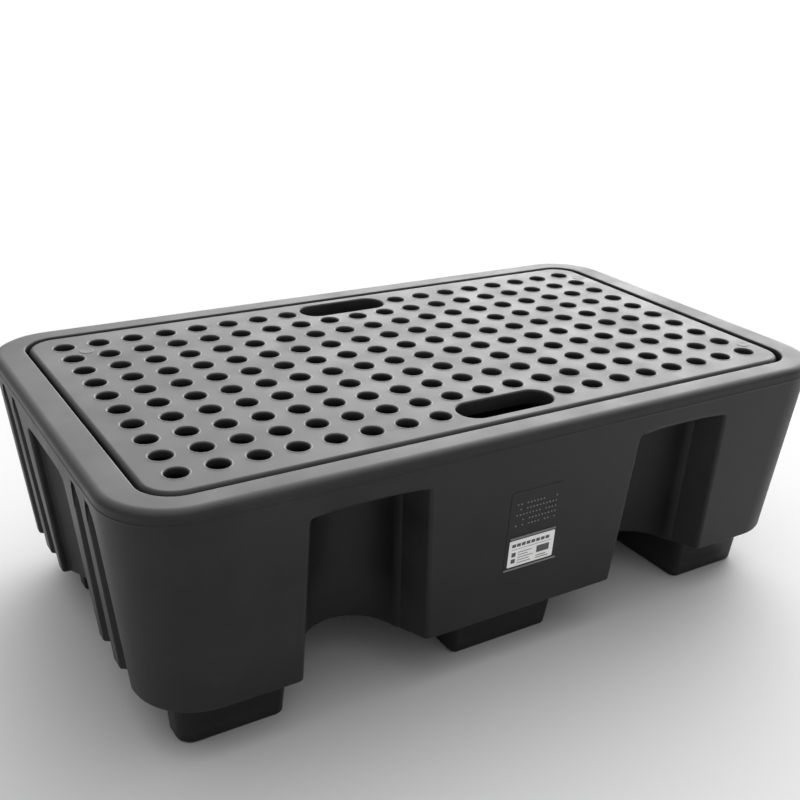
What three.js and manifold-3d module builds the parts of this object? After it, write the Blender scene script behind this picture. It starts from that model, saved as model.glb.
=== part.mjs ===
// Spill containment pallet for two drums: a one-piece polyethylene sump tub on six hollow feet,
// a lift-out perforated deck with two hand slots, press-in deck plugs and a rating label.
// Millimetres. X runs along the length, Y across (the labelled long side faces -Y), Z up, floor at z = 0.

import * as THREE from 'three';
import { mergeVertices } from 'three/addons/utils/BufferGeometryUtils.js';
import Module from 'manifold-3d';

const wasm = await Module();
wasm.setup();

// ---------------------------------------------------------------- driving dimensions

// Overall
const LENGTH = 1300;
const WIDTH = 750;
const HEIGHT = 410; // floor to the top of the rim
const FOOT_HEIGHT = 85; // floor to the underside of the body
const WALL = 7; // moulded wall of the tub
const FIT_GAP = 0.3; // left between two pieces that rest on each other

// Outer wall of the tub, which leans in from the rim down to the underside
const END_LEAN = 48;
const SIDE_LEAN = 27.5;
const RIM_CORNER_RADIUS = 106;
const BASE_CORNER_RADIUS = 96.5;
const RIM_ROUNDING = 10;

// Rim, an inverted channel whose inner skirt carries the deck ledge
const RIM_END_WIDTH = 52.5;
const RIM_SIDE_WIDTH = 44;
const RIM_TOP_THICKNESS = 8;
const SKIRT_THICKNESS = 8;
const MOUTH_CORNER_RADIUS = 55;
const LEDGE_WIDTH = 16;
const LEDGE_THICKNESS = 8;

// Four bays in the long sides, each a flared mouth with a half-round scoop behind it
const BAY_DROP = 55; // rim top to bay ceiling
const BLOCK_HALF_WIDTH_BASE = 180; // centre block between the bays, at the underside
const BLOCK_HALF_WIDTH_TOP = 199; // and at the bay ceiling
const BAY_MOUTH_BASE = 207;
const BAY_MOUTH_TOP = 191;
const BAY_SHOULDER = 22; // the scoop is this much narrower than the mouth on each side
const BAY_FLARE_DEPTH = 37;
const BAY_EDGE_ROUNDING = 9;

// Wide recess in the middle of each end wall
const RECESS_HALF_WIDTH = 98;
const RECESS_EDGE_DEPTH = 12;
const RECESS_MIDDLE_DEPTH = 37;
const RECESS_DROP = 55;
const RECESS_EDGE_ROUNDING = 15;

// Two pairs of grooves beside it, which draw together and narrow towards the top
const GROOVE_CENTRES_BASE = [144, 221];
const GROOVE_CENTRES_TOP = [168, 232];
const GROOVE_HALF_WIDTH_BASE = 26;
const GROOVE_HALF_WIDTH_TOP = 20;
const GROOVE_DEPTH = 13;
const GROOVE_DROP = 33; // rim top to groove tip
const GROOVE_TIP_LENGTH = 22;

// Feet, sizes at the floor
const FOOT_LEAN = 10; // how far a side widens from the floor up to the body
const FOOT_BAY_SIDE_LEAN = 3;
const FOOT_BAY_SETBACK = 4; // corner foot behind the bay's edge
const FOOT_END_SETBACK = 53; // corner foot in from the end wall's lower edge
const FOOT_SIDE_SETBACK = 52.5; // every foot in from the side wall's lower edge
const FOOT_INNER_END = 90; // distance of every foot from the length's middle plane
const CENTRE_FOOT_HALF_WIDTH = 94;
const CORNER_FOOT_RADIUS = 47;
const CENTRE_FOOT_RADIUS = 10;
const FOOT_INNER_RADIUS = 12;

// Deck
const DECK_END_GAP = 6.5; // deck edge to rim
const DECK_SIDE_GAP = 6;
const DECK_SET_BACK = 3; // the loose deck rests this far towards the back within its play
const DECK_TOP_BELOW_RIM = 1;
const DECK_CORNER_RADIUS = 50;
const DECK_ROUNDING = 8;
const DECK_PLATE = 6;
const DECK_SKIRT = 6;
const DECK_RIB = 4;
const HOLE_PITCH = 59.6;
const HOLE_DIAMETER = 33;
const HOLE_EDGE_MARGIN = 54; // least distance from the deck edge to a hole's centre
const HOLE_SIDES = 6;
const SLOT_LENGTH = 174;
const SLOT_WIDTH = 62;
const SLOT_INSET = 54; // deck edge to the slot's middle line
const SLOT_COLLAR = 5;
const SLOT_COLLAR_DEPTH = 24;
const SLOT_CLEARANCE = 8; // least land between a hole and a slot

// Deck plugs
const PLUG_HEAD_DIAMETER = 25;
const PLUG_HEAD_THICKNESS = 1.5;
const PLUG_STEM_DIAMETER = 18;
const PLUG_STEM_LENGTH = 8;

// Label panel on the front of the centre block
const PANEL_HALF_WIDTH = 51;
const PANEL_TOP = 309;
const PANEL_BOTTOM = 164;
const PANEL_DEPTH = 1;
const LABEL_WIDTH = 88;
const LABEL_HEIGHT = 48;
const LABEL_MIDDLE = 198;
const LABEL_THICKNESS = 0.8;
const LABEL_LEDGE_GAP = 4; // ledge beyond the label's upper and lower edge
const LEDGE_BAR_HEIGHT = 3;
const LEDGE_BAR_PROUD = 2.5;

const CORNER_STEPS = 6;
const OVERSHOOT = 20; // how far a cutting solid runs past the surface it opens

// ---------------------------------------------------------------- derived planes

const HALF_LENGTH = LENGTH / 2;
const HALF_WIDTH = WIDTH / 2;
const RIM_EDGE_Z = HEIGHT - RIM_ROUNDING; // where the outer wall meets the rim's rounding
const BASE_Z = FOOT_HEIGHT;
const FLOOR_Z = BASE_Z + WALL; // inside floor of the sump
const BAY_TOP_Z = HEIGHT - BAY_DROP;
const RECESS_TOP_Z = HEIGHT - RECESS_DROP;
const SHELF_Z = BAY_TOP_Z + WALL; // inner face of the bay ceilings and top of the ledge
const MOUTH_HALF_X = HALF_LENGTH - RIM_END_WIDTH;
const MOUTH_HALF_Y = HALF_WIDTH - RIM_SIDE_WIDTH;
const BASE_HALF_X = HALF_LENGTH - END_LEAN;
const BASE_HALF_Y = HALF_WIDTH - SIDE_LEAN;
const DECK_HALF_X = MOUTH_HALF_X - DECK_END_GAP;
const DECK_HALF_Y = MOUTH_HALF_Y - DECK_SIDE_GAP;
const DECK_TOP_Z = HEIGHT - DECK_TOP_BELOW_RIM;
const DECK_UNDER_Z = SHELF_Z + FIT_GAP;
const SLOT_Y = DECK_HALF_Y - SLOT_INSET;

/** Share of the way from the body's underside (0) to the rim's lower edge (1). */
const wallShare = (z) => (z - BASE_Z) / (RIM_EDGE_Z - BASE_Z);
const endFaceX = (z) => BASE_HALF_X + END_LEAN * wallShare(z);
const sideFaceY = (z) => BASE_HALF_Y + SIDE_LEAN * wallShare(z);
const mix = THREE.MathUtils.lerp;

// ---------------------------------------------------------------- rings and lofts

/** Points of a quarter round about (cx, cy), starting at the given angle. */
function arc(cx, cy, radius, start, sweep, steps) {
  const points = [];
  for (let i = 0; i <= steps; i += 1) {
    const angle = start + (sweep * i) / steps;
    points.push(new THREE.Vector2(cx + radius * Math.cos(angle), cy + radius * Math.sin(angle)));
  }
  return points;
}

/** A level ring: plan points lifted to height z. */
const atHeight = (points, z) => points.map((p) => new THREE.Vector3(p.x, p.y, z));

/** Box plan from (x0, y0) to (x1, y1); radii go round from the (x1, y1) corner, anticlockwise. */
function roundedBox(x0, y0, x1, y1, radii, z) {
  const [r11, r01, r00, r10] = radii;
  const quarter = Math.PI / 2;
  const points = [
    ...arc(x1 - r11, y1 - r11, r11, 0, quarter, CORNER_STEPS),
    ...arc(x0 + r01, y1 - r01, r01, quarter, quarter, CORNER_STEPS),
    ...arc(x0 + r00, y0 + r00, r00, 2 * quarter, quarter, CORNER_STEPS),
    ...arc(x1 - r10, y0 + r10, r10, 3 * quarter, quarter, CORNER_STEPS),
  ];
  return atHeight(points, z);
}

const roundedRect = (halfX, halfY, radius, z) =>
  roundedBox(-halfX, -halfY, halfX, halfY, [radius, radius, radius, radius], z);

/** Sharp-cornered rectangle ring. */
function rectangle(x0, y0, x1, y1, z) {
  return [[x0, y0], [x1, y0], [x1, y1], [x0, y1]].map(([x, y]) => new THREE.Vector3(x, y, z));
}

/** Circle ring with the given number of sides. */
function circle(cx, cy, radius, sides, z) {
  const turn = (2 * Math.PI) / sides;
  return atHeight(arc(cx, cy, radius, turn / 2, 2 * Math.PI - turn, sides - 1), z);
}

/** The rings seen in a mirror: sx and sy are 1 or -1. Ring order is kept anticlockwise. */
function mirrored(rings, sx, sy) {
  return rings.map((ring) => {
    const copy = ring.map((p) => new THREE.Vector3(p.x * sx, p.y * sy, p.z));
    return sx * sy < 0 ? copy.reverse() : copy;
  });
}

/** Closed surface through anticlockwise rings of equal length, listed from the lowest up. */
function loftGeometry(rings) {
  const count = rings[0].length;
  const positions = rings.flatMap((ring) => ring.flatMap((p) => [p.x, p.y, p.z]));
  const index = [];
  for (let level = 0; level < rings.length - 1; level += 1) {
    for (let i = 0; i < count; i += 1) {
      const a = level * count + i;
      const b = level * count + ((i + 1) % count);
      index.push(a, b, b + count, a, b + count, a + count);
    }
  }
  const cap = (ring) => THREE.ShapeUtils.triangulateShape(ring.map((p) => new THREE.Vector2(p.x, p.y)), []);
  const last = (rings.length - 1) * count;
  cap(rings[0]).forEach(([a, b, c]) => index.push(a, c, b));
  cap(rings[rings.length - 1]).forEach(([a, b, c]) => index.push(last + a, last + b, last + c));
  const geometry = new THREE.BufferGeometry();
  geometry.setAttribute('position', new THREE.Float32BufferAttribute(positions, 3));
  geometry.setIndex(index);
  return geometry;
}

// ---------------------------------------------------------------- solids

/** Manifold solid from a closed geometry. */
function solidOf(geometry) {
  const merged = mergeVertices(geometry, 1e-5);
  return new wasm.Manifold(new wasm.Mesh({
    numProp: 3,
    vertProperties: new Float32Array(merged.attributes.position.array),
    triVerts: new Uint32Array(merged.index.array),
  }));
}

const loft = (rings) => solidOf(loftGeometry(rings));
const box = (x0, y0, z0, x1, y1, z1) => loft([rectangle(x0, y0, x1, y1, z0), rectangle(x0, y0, x1, y1, z1)]);
const joined = (solids) => solids.reduce((whole, solid) => whole.add(solid));
const cutBy = (solid, cutters) => cutters.reduce((rest, cutter) => rest.subtract(cutter), solid);

/** The same shape in all four corners of the plan. */
const inFourCorners = (rings) =>
  [[1, 1], [-1, 1], [-1, -1], [1, -1]].map(([sx, sy]) => loft(mirrored(rings, sx, sy)));

/** The same shape at both ends (+X and -X). */
const atBothEnds = (rings) => [1, -1].map((sx) => loft(mirrored(rings, sx, 1)));

/** BufferGeometry of a finished solid. */
function geometryOf(solid) {
  const mesh = solid.getMesh();
  const geometry = new THREE.BufferGeometry();
  geometry.setAttribute('position', new THREE.Float32BufferAttribute(mesh.vertProperties, 3));
  geometry.setIndex(new THREE.Uint32BufferAttribute(mesh.triVerts, 1));
  geometry.computeVertexNormals();
  return geometry;
}

// ---------------------------------------------------------------- hollows in the tub's wall

/**
 * One bay at (+X, +Y), from below the body up to its rounded ceiling.
 * grow makes the same shape larger all round, for the wall that encloses it.
 */
function bayRings(grow) {
  const plan = (z, inset) => {
    const share = (z - BASE_Z) / (BAY_TOP_Z - BASE_Z);
    const face = sideFaceY(z);
    const spread = grow - inset;
    const near = mix(BLOCK_HALF_WIDTH_BASE, BLOCK_HALF_WIDTH_TOP, share);
    const far = near + mix(BAY_MOUTH_BASE, BAY_MOUTH_TOP, share);
    const radius = (far - near) / 2 - BAY_SHOULDER;
    const scoopY = face - BAY_FLARE_DEPTH;
    const scoop = arc((near + far) / 2, scoopY, radius + spread, 0, -Math.PI, 2 * CORNER_STEPS);
    const mouthY = face + OVERSHOOT;
    return [
      new THREE.Vector2(near - spread, mouthY),
      new THREE.Vector2(near - spread, face),
      ...scoop.reverse(),
      new THREE.Vector2(far + spread, face),
      new THREE.Vector2(far + spread, mouthY),
    ];
  };
  const ceiling = BAY_TOP_Z + grow;
  const round = BAY_EDGE_ROUNDING;
  return [
    atHeight(plan(BASE_Z - OVERSHOOT, 0), BASE_Z - OVERSHOOT),
    atHeight(plan(ceiling - round, 0), ceiling - round),
    atHeight(plan(ceiling - round * 0.3, round * 0.3), ceiling - round * 0.3),
    atHeight(plan(ceiling, round), ceiling),
  ];
}

/** The wide recess of the +X end wall, a shallow concave trough behind two short side walls. */
function recessRings(grow) {
  const sagitta = RECESS_MIDDLE_DEPTH - RECESS_EDGE_DEPTH;
  const plan = (z, inset) => {
    const half = RECESS_HALF_WIDTH + grow - inset;
    const face = endFaceX(z);
    const radius = (half * half + sagitta * sagitta) / (2 * sagitta);
    const sweep = Math.asin(half / radius);
    const middleX = face - RECESS_MIDDLE_DEPTH - grow + inset;
    const trough = arc(middleX + radius, 0, radius, Math.PI - sweep, 2 * sweep, CORNER_STEPS);
    return [
      new THREE.Vector2(face + OVERSHOOT, -half),
      new THREE.Vector2(face + OVERSHOOT, half),
      ...trough,
    ];
  };
  const ceiling = RECESS_TOP_Z + grow;
  const round = RECESS_EDGE_ROUNDING;
  return [
    atHeight(plan(BASE_Z - OVERSHOOT, 0), BASE_Z - OVERSHOOT),
    atHeight(plan(ceiling - round, 0), ceiling - round),
    atHeight(plan(ceiling - round * 0.3, round * 0.3), ceiling - round * 0.3),
    atHeight(plan(ceiling, round), ceiling),
  ];
}

/** Half-round groove number i of the +X end at +Y, in a face whose place at height z is faceX(z). */
function grooveRings(i, faceX, low, high, grow) {
  const plan = (z, share) => {
    const up = Math.max(0, wallShare(z));
    const centreY = mix(GROOVE_CENTRES_BASE[i], GROOVE_CENTRES_TOP[i], up);
    const half = (mix(GROOVE_HALF_WIDTH_BASE, GROOVE_HALF_WIDTH_TOP, up) + grow) * share;
    const depth = (GROOVE_DEPTH + grow) * share;
    const face = faceX(z);
    const hollow = [];
    for (let step = 0; step <= CORNER_STEPS; step += 1) {
      const angle = (Math.PI * step) / CORNER_STEPS;
      hollow.push(new THREE.Vector2(face - depth * Math.sin(angle), centreY + half * Math.cos(angle)));
    }
    return [
      new THREE.Vector2(face + OVERSHOOT, centreY - half),
      new THREE.Vector2(face + OVERSHOOT, centreY + half),
      ...hollow,
    ];
  };
  return [
    atHeight(plan(low, 1), low),
    atHeight(plan(high - GROOVE_TIP_LENGTH, 1), high - GROOVE_TIP_LENGTH),
    atHeight(plan(high - GROOVE_TIP_LENGTH / 3, 0.7), high - GROOVE_TIP_LENGTH / 3),
    atHeight(plan(high, 0.15), high),
  ];
}

/** Every hollow that opens outwards through the tub's walls, grown by the wall where asked. */
function wallHollows(grow) {
  const grooveTop = HEIGHT - GROOVE_DROP + grow;
  const grooves = GROOVE_CENTRES_BASE.flatMap((_, i) =>
    inFourCorners(grooveRings(i, endFaceX, BASE_Z - OVERSHOOT, grooveTop, grow)));
  return [...inFourCorners(bayRings(grow)), ...atBothEnds(recessRings(grow)), ...grooves];
}

// ---------------------------------------------------------------- feet

/** Plan limits of the (+X, +Y) corner foot at height z, drawn in by inset. */
function cornerFootRing(z, inset) {
  const lean = (FOOT_LEAN * z) / FOOT_HEIGHT;
  const bayLean = (FOOT_BAY_SIDE_LEAN * z) / FOOT_HEIGHT;
  const bayEdge = BLOCK_HALF_WIDTH_BASE + BAY_MOUTH_BASE + FOOT_BAY_SETBACK;
  const inner = FOOT_INNER_RADIUS - inset / 2;
  return roundedBox(
    bayEdge - bayLean + inset, FOOT_INNER_END - lean + inset,
    BASE_HALF_X - FOOT_END_SETBACK + lean - inset, BASE_HALF_Y - FOOT_SIDE_SETBACK + lean - inset,
    [CORNER_FOOT_RADIUS - inset, inner, inner, inner], z,
  );
}

/** Plan of the +Y centre foot at height z, drawn in by inset. */
function centreFootRing(z, inset) {
  const lean = (FOOT_LEAN * z) / FOOT_HEIGHT;
  const half = CENTRE_FOOT_HALF_WIDTH + lean - inset;
  const outer = CENTRE_FOOT_RADIUS - inset;
  const inner = FOOT_INNER_RADIUS - inset / 2;
  return roundedBox(
    -half, FOOT_INNER_END - lean + inset, half, BASE_HALF_Y - FOOT_SIDE_SETBACK + lean - inset,
    [outer, outer, inner, inner], z,
  );
}

/** All six feet between two heights: outer skins with inset 0, their hollows with inset WALL. */
function feetBetween(low, high, inset) {
  const corner = [cornerFootRing(low, inset), cornerFootRing(high, inset)];
  const centre = [centreFootRing(low, inset), centreFootRing(high, inset)];
  return [...inFourCorners(corner), loft(centre), loft(mirrored(centre, 1, -1))];
}

/** Notches that carry the end grooves down the outer face of the corner feet. */
function footNotches(grow) {
  const footFaceX = (z) => BASE_HALF_X - FOOT_END_SETBACK + (FOOT_LEAN * z) / FOOT_HEIGHT;
  return GROOVE_CENTRES_BASE.flatMap((_, i) =>
    inFourCorners(grooveRings(i, footFaceX, -OVERSHOOT, BASE_Z + 2 * GROOVE_TIP_LENGTH, grow)));
}

// ---------------------------------------------------------------- label panel

/** A slab on the front face between two heights, from depth `back` inside it to `front` proud of it. */
function frontSlab(halfWidth, low, high, back, front) {
  const ring = (z) => rectangle(-halfWidth, -sideFaceY(z) - front, halfWidth, -sideFaceY(z) + back, z);
  return loft([ring(low), ring(high)]);
}

function labelLedges() {
  const reach = LABEL_HEIGHT / 2 + LABEL_LEDGE_GAP;
  const bar = (halfWidth, z) =>
    frontSlab(halfWidth, z - LEDGE_BAR_HEIGHT / 2, z + LEDGE_BAR_HEIGHT / 2, WALL / 2, LEDGE_BAR_PROUD);
  return [bar(LABEL_WIDTH / 2, LABEL_MIDDLE + reach), bar(PANEL_HALF_WIDTH, LABEL_MIDDLE - reach)];
}

// ---------------------------------------------------------------- sub-parts

/** Inner skirt of the rim with the ledge that the deck rests on. */
function rimSkirt() {
  const outX = MOUTH_HALF_X + SKIRT_THICKNESS;
  const outY = MOUTH_HALF_Y + SKIRT_THICKNESS;
  const outRadius = MOUTH_CORNER_RADIUS + SKIRT_THICKNESS;
  const low = SHELF_Z - LEDGE_THICKNESS;
  const inRadius = MOUTH_CORNER_RADIUS - LEDGE_WIDTH;
  const ring = loft([roundedRect(outX, outY, outRadius, low), roundedRect(outX, outY, outRadius, HEIGHT)]);
  const opening = [low - 1, SHELF_Z + 1].map((z) =>
    roundedRect(MOUTH_HALF_X - LEDGE_WIDTH, MOUTH_HALF_Y - LEDGE_WIDTH, inRadius, z));
  return cutBy(ring, [loft(opening)]);
}

function sumpTub() {
  const quarter = Math.PI / 2;
  const roundingSteps = [0, 1, 2, 3];
  const rounding = roundingSteps.map((step) => {
    const angle = (quarter * step) / (roundingSteps.length - 1);
    const inset = RIM_ROUNDING * (1 - Math.cos(angle));
    const z = RIM_EDGE_Z + RIM_ROUNDING * Math.sin(angle);
    return roundedRect(HALF_LENGTH - inset, HALF_WIDTH - inset, RIM_CORNER_RADIUS - inset, z);
  });
  const skin = loft([roundedRect(BASE_HALF_X, BASE_HALF_Y, BASE_CORNER_RADIUS, BASE_Z), ...rounding]);
  const feet = cutBy(joined(feetBetween(0, BASE_Z + WALL / 2, 0)), footNotches(0));
  const panel = frontSlab(PANEL_HALF_WIDTH, PANEL_BOTTOM, PANEL_TOP, PANEL_DEPTH, OVERSHOOT);
  const body = joined([cutBy(skin, [...wallHollows(0), panel]), feet, ...labelLedges()]);

  const ceiling = HEIGHT - RIM_TOP_THICKNESS;
  const inside = (z, radius) => roundedRect(endFaceX(z) - WALL, sideFaceY(z) - WALL, radius - WALL, z);
  const chamber = loft([inside(FLOOR_Z, BASE_CORNER_RADIUS), inside(ceiling, RIM_CORNER_RADIUS)]);
  const mouth = loft([SHELF_Z, HEIGHT + 1].map((z) =>
    roundedRect(MOUTH_HALF_X, MOUTH_HALF_Y, MOUTH_CORNER_RADIUS, z)));
  const footHollows = cutBy(joined(feetBetween(WALL, FLOOR_Z + 1, WALL)), footNotches(WALL));
  const cavity = joined([cutBy(chamber, [...wallHollows(WALL), rimSkirt()]), mouth, footHollows]);
  return body.subtract(cavity);
}

/** Centres of the deck's drain holes: a square grid that leaves out what would run into a hand slot. */
function holeCentres() {
  const columns = Math.floor((DECK_HALF_X - HOLE_EDGE_MARGIN) / HOLE_PITCH);
  const rows = Math.floor((DECK_HALF_Y - HOLE_EDGE_MARGIN) / HOLE_PITCH + 0.5);
  const reachX = SLOT_LENGTH / 2 + HOLE_DIAMETER / 2 + SLOT_CLEARANCE;
  const reachY = SLOT_WIDTH / 2 + HOLE_DIAMETER / 2 + SLOT_CLEARANCE;
  const centres = [];
  for (let row = 0.5 - rows; row < rows; row += 1) {
    for (let column = -columns; column <= columns; column += 1) {
      const x = column * HOLE_PITCH;
      const y = row * HOLE_PITCH;
      const onSlot = Math.abs(x) < reachX && Math.abs(Math.abs(y) - SLOT_Y) < reachY;
      if (!onSlot) centres.push(new THREE.Vector2(x, y));
    }
  }
  return { columns, rows, centres };
}

/** Plug places, each in the land between four holes or between the last column and the edge. */
function plugCentres({ columns, rows }) {
  const y = (rows - 1) * HOLE_PITCH;
  const right = (columns + 0.5) * HOLE_PITCH;
  const left = -(columns - 0.5) * HOLE_PITCH;
  return [[left, y], [right, y], [right, -y]].map(([px, py]) => new THREE.Vector2(px, py));
}

function slotPrism(sign, grow, low, high) {
  const halfX = SLOT_LENGTH / 2 + grow;
  const halfY = SLOT_WIDTH / 2 + grow;
  const y = sign * SLOT_Y;
  const ring = (z) => roundedBox(-halfX, y - halfY, halfX, y + halfY, [halfY, halfY, halfY, halfY], z);
  return loft([ring(low), ring(high)]);
}

/** Stiffening ribs under the deck, on every second line between the holes. */
function deckRibs({ columns, rows }) {
  const high = DECK_TOP_Z - DECK_PLATE / 2;
  const ribs = [];
  for (let line = -(rows - 1); line <= rows - 1; line += 2) {
    const y = line * HOLE_PITCH;
    ribs.push(box(-DECK_HALF_X, y - DECK_RIB / 2, DECK_UNDER_Z, DECK_HALF_X, y + DECK_RIB / 2, high));
  }
  for (let line = 1.5 - columns; line <= columns - 1.5; line += 2) {
    const x = line * HOLE_PITCH;
    ribs.push(box(x - DECK_RIB / 2, -DECK_HALF_Y, DECK_UNDER_Z, x + DECK_RIB / 2, DECK_HALF_Y, high));
  }
  return ribs;
}

function deckGrating(grid) {
  const outline = (inset, z) =>
    roundedRect(DECK_HALF_X - inset, DECK_HALF_Y - inset, DECK_CORNER_RADIUS - inset, z);
  const middleStep = DECK_ROUNDING * (1 - Math.SQRT1_2);
  const skin = loft([
    outline(0, DECK_UNDER_Z),
    outline(0, DECK_TOP_Z - DECK_ROUNDING),
    outline(middleStep, DECK_TOP_Z - middleStep),
    outline(DECK_ROUNDING, DECK_TOP_Z),
  ]);
  const under = loft([outline(DECK_SKIRT, DECK_UNDER_Z - 1), outline(DECK_SKIRT, DECK_TOP_Z - DECK_PLATE)]);
  const collars = [-1, 1].map((sign) =>
    slotPrism(sign, SLOT_COLLAR, DECK_TOP_Z - SLOT_COLLAR_DEPTH, DECK_TOP_Z - DECK_PLATE / 2));
  const shell = skin.subtract(cutBy(under, [...deckRibs(grid), ...collars]));
  const slots = [-1, 1].map((sign) => slotPrism(sign, 0, DECK_UNDER_Z - 1, HEIGHT + 1));
  const holes = grid.centres.map(({ x, y }) => loft([DECK_TOP_Z - 2 * DECK_PLATE, HEIGHT + 1].map((z) =>
    circle(x, y, HOLE_DIAMETER / 2, HOLE_SIDES, z))));
  return cutBy(shell, [...slots, ...holes, ...plugCentres(grid).map((p) => plugSolid(p, FIT_GAP))]);
}

/** A press-in plug with its head flush with the deck; grow turns it into the pocket that takes it. */
function plugSolid({ x, y }, grow) {
  const headZ = DECK_TOP_Z - PLUG_HEAD_THICKNESS - grow;
  const top = grow > 0 ? HEIGHT + 1 : DECK_TOP_Z;
  const stem = PLUG_STEM_DIAMETER / 2 + grow;
  const head = PLUG_HEAD_DIAMETER / 2 + grow;
  const sides = 2 * CORNER_STEPS;
  return loft([
    circle(x, y, stem, sides, DECK_TOP_Z - PLUG_HEAD_THICKNESS - PLUG_STEM_LENGTH - grow),
    circle(x, y, stem, sides, headZ),
    circle(x, y, head, sides, headZ),
    circle(x, y, head, sides, top),
  ]);
}

function ratingLabel() {
  const low = LABEL_MIDDLE - LABEL_HEIGHT / 2;
  const back = PANEL_DEPTH - FIT_GAP;
  return frontSlab(LABEL_WIDTH / 2, low, low + LABEL_HEIGHT, back, LABEL_THICKNESS - back);
}

// ---------------------------------------------------------------- assembly

/** A plain finish that isn't metal. */
const finish = (name, color, roughness) =>
  new THREE.MeshStandardMaterial({ name, color, roughness, metalness: 0 });
const tubPlastic = finish('tub', 0x2a2a2c, 0.55);
const deckPlastic = finish('deck', 0x2a2a2c, 0.55);
const plugPlastic = finish('plug', 0x5a5a5c, 0.6);
const labelFilm = finish('label', 0xdedede, 0.4);

function piece(name, solid, material) {
  const mesh = new THREE.Mesh(geometryOf(solid), material);
  mesh.name = name;
  return mesh;
}

const grid = holeCentres();
const tubGroup = new THREE.Group();
tubGroup.add(piece('sump_tub', sumpTub(), tubPlastic));
tubGroup.add(piece('rating_label', ratingLabel(), labelFilm));

const deckGroup = new THREE.Group();
deckGroup.position.y = DECK_SET_BACK;
deckGroup.add(piece('deck_grating', deckGrating(grid), deckPlastic));
plugCentres(grid).forEach((centre, i) =>
  deckGroup.add(piece(`deck_plug_${i + 1}`, plugSolid(centre, 0), plugPlastic)));

const pallet = new THREE.Group();
pallet.add(tubGroup, deckGroup);

export default pallet;
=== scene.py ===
import logging
import math
from dataclasses import dataclass
from enum import Enum
from typing import Callable, Sequence

import bmesh
import bpy
from mathutils import Matrix, Vector
from mathutils.geometry import tessellate_polygon


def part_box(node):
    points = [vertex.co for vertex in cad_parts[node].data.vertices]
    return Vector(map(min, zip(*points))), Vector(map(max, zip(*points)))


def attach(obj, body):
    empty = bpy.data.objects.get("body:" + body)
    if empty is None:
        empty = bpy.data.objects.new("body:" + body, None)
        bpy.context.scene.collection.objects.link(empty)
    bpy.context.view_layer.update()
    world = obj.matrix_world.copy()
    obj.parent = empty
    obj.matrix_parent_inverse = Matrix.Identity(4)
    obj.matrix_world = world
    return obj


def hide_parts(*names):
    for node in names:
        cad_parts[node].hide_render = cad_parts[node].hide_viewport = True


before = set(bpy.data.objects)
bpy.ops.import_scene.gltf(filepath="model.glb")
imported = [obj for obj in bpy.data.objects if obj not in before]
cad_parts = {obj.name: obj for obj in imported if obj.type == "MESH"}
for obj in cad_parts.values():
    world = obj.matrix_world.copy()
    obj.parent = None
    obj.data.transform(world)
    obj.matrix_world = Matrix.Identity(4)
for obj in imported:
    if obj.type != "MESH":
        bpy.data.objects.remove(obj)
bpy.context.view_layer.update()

# Spill containment pallet: a moulded sump tub on hollow feet, a perforated lift-out deck,
# press-in plugs and a label. Sizes in the classes are millimetres; meshes are made in metres.

LOG = logging.getLogger("spill_pallet")
MM = 0.001
QUARTER = math.pi / 2

# Attribute and value that let flat patches rule the normals at their rims
FACE_STRENGTH = "__mod_weightednormals_faceweight"
STRONG = 16384
# Twice the area in square metres under which a triangle counts as a line
NO_AREA = 1e-14
# Distance in metres under which vertices are one
WELD = 2e-6
# Depth in millimetres, or share of a depth, under which a hollow is level with its wall
SHALLOW = 1e-6

Plan = list[tuple[float, float]]
Ring = list[Vector]
Socket = bpy.types.NodeSocket


# ------------------------------------------------------------------ plan curves


def between(low: float, high: float, share: float) -> float:
    """The value at a share of the way from low to high."""
    return low + (high - low) * share


def filleted(corners: Sequence[tuple[float, float, float]], steps: int = 4, closed: bool = False) -> Plan:
    """Rounds the corners of a plan line.

    Args:
        corners: (x, y, radius) of each corner; a radius of 0 keeps a sharp point.
        steps: Straight steps in each round.
        closed: True if the last corner joins the first.

    Returns:
        The points of the rounded line. Their number depends only on the number of corners and
        on which radii are 0, so that lines at different heights can be joined.
    """
    count = len(corners)
    points: Plan = []
    for i, (x, y, radius) in enumerate(corners):
        at_end = not closed and i in (0, count - 1)
        if radius <= 0 or at_end:
            points.append((x, y))
            continue
        here = Vector((x, y))
        before = Vector(corners[i - 1][:2]) - here
        after = Vector(corners[(i + 1) % count][:2]) - here
        bend = before.angle(after, math.pi)
        reach = min(radius / math.tan(bend / 2), 0.48 * before.length, 0.48 * after.length)
        start = here + before.normalized() * reach
        stop = here + after.normalized() * reach
        # A conic with a weight that follows the bend runs along the true arc.
        weight = math.sin(bend / 2)
        for step in range(steps + 1):
            t = step / steps
            a, b, c = (1 - t) ** 2, 2 * t * (1 - t) * weight, t * t
            spot = (start * a + here * b + stop * c) / (a + b + c)
            points.append((spot.x, spot.y))
    return points


def box_plan(x0: float, y0: float, x1: float, y1: float, radii: Sequence[float], steps: int = 6) -> Plan:
    """Rounded box, anticlockwise from the (x1, y0) corner.

    Args:
        x0, y0, x1, y1: Limits of the box.
        radii: Corner radii at (x1, y0), (x1, y1), (x0, y1), (x0, y0).
        steps: Straight steps in each corner.

    Returns:
        The closed plan line.
    """
    r10, r11, r01, r00 = radii
    corners = [(x1, y0, r10), (x1, y1, r11), (x0, y1, r01), (x0, y0, r00)]
    return filleted(corners, steps, closed=True)


def circle_plan(x: float, y: float, radius: float, sides: int) -> Plan:
    """Circle as a closed plan line.

    Args:
        x, y: Its middle.
        radius: Its radius.
        sides: Number of straight sides.

    Returns:
        The points, anticlockwise from the +X axis.
    """
    turn = 2 * math.pi / sides
    return [(x + radius * math.cos(turn * i), y + radius * math.sin(turn * i)) for i in range(sides)]


def lift(plan: Plan, z: float) -> Ring:
    """A plan line at one height, in metres."""
    return [Vector((x, y, z)) * MM for x, y in plan]


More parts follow.
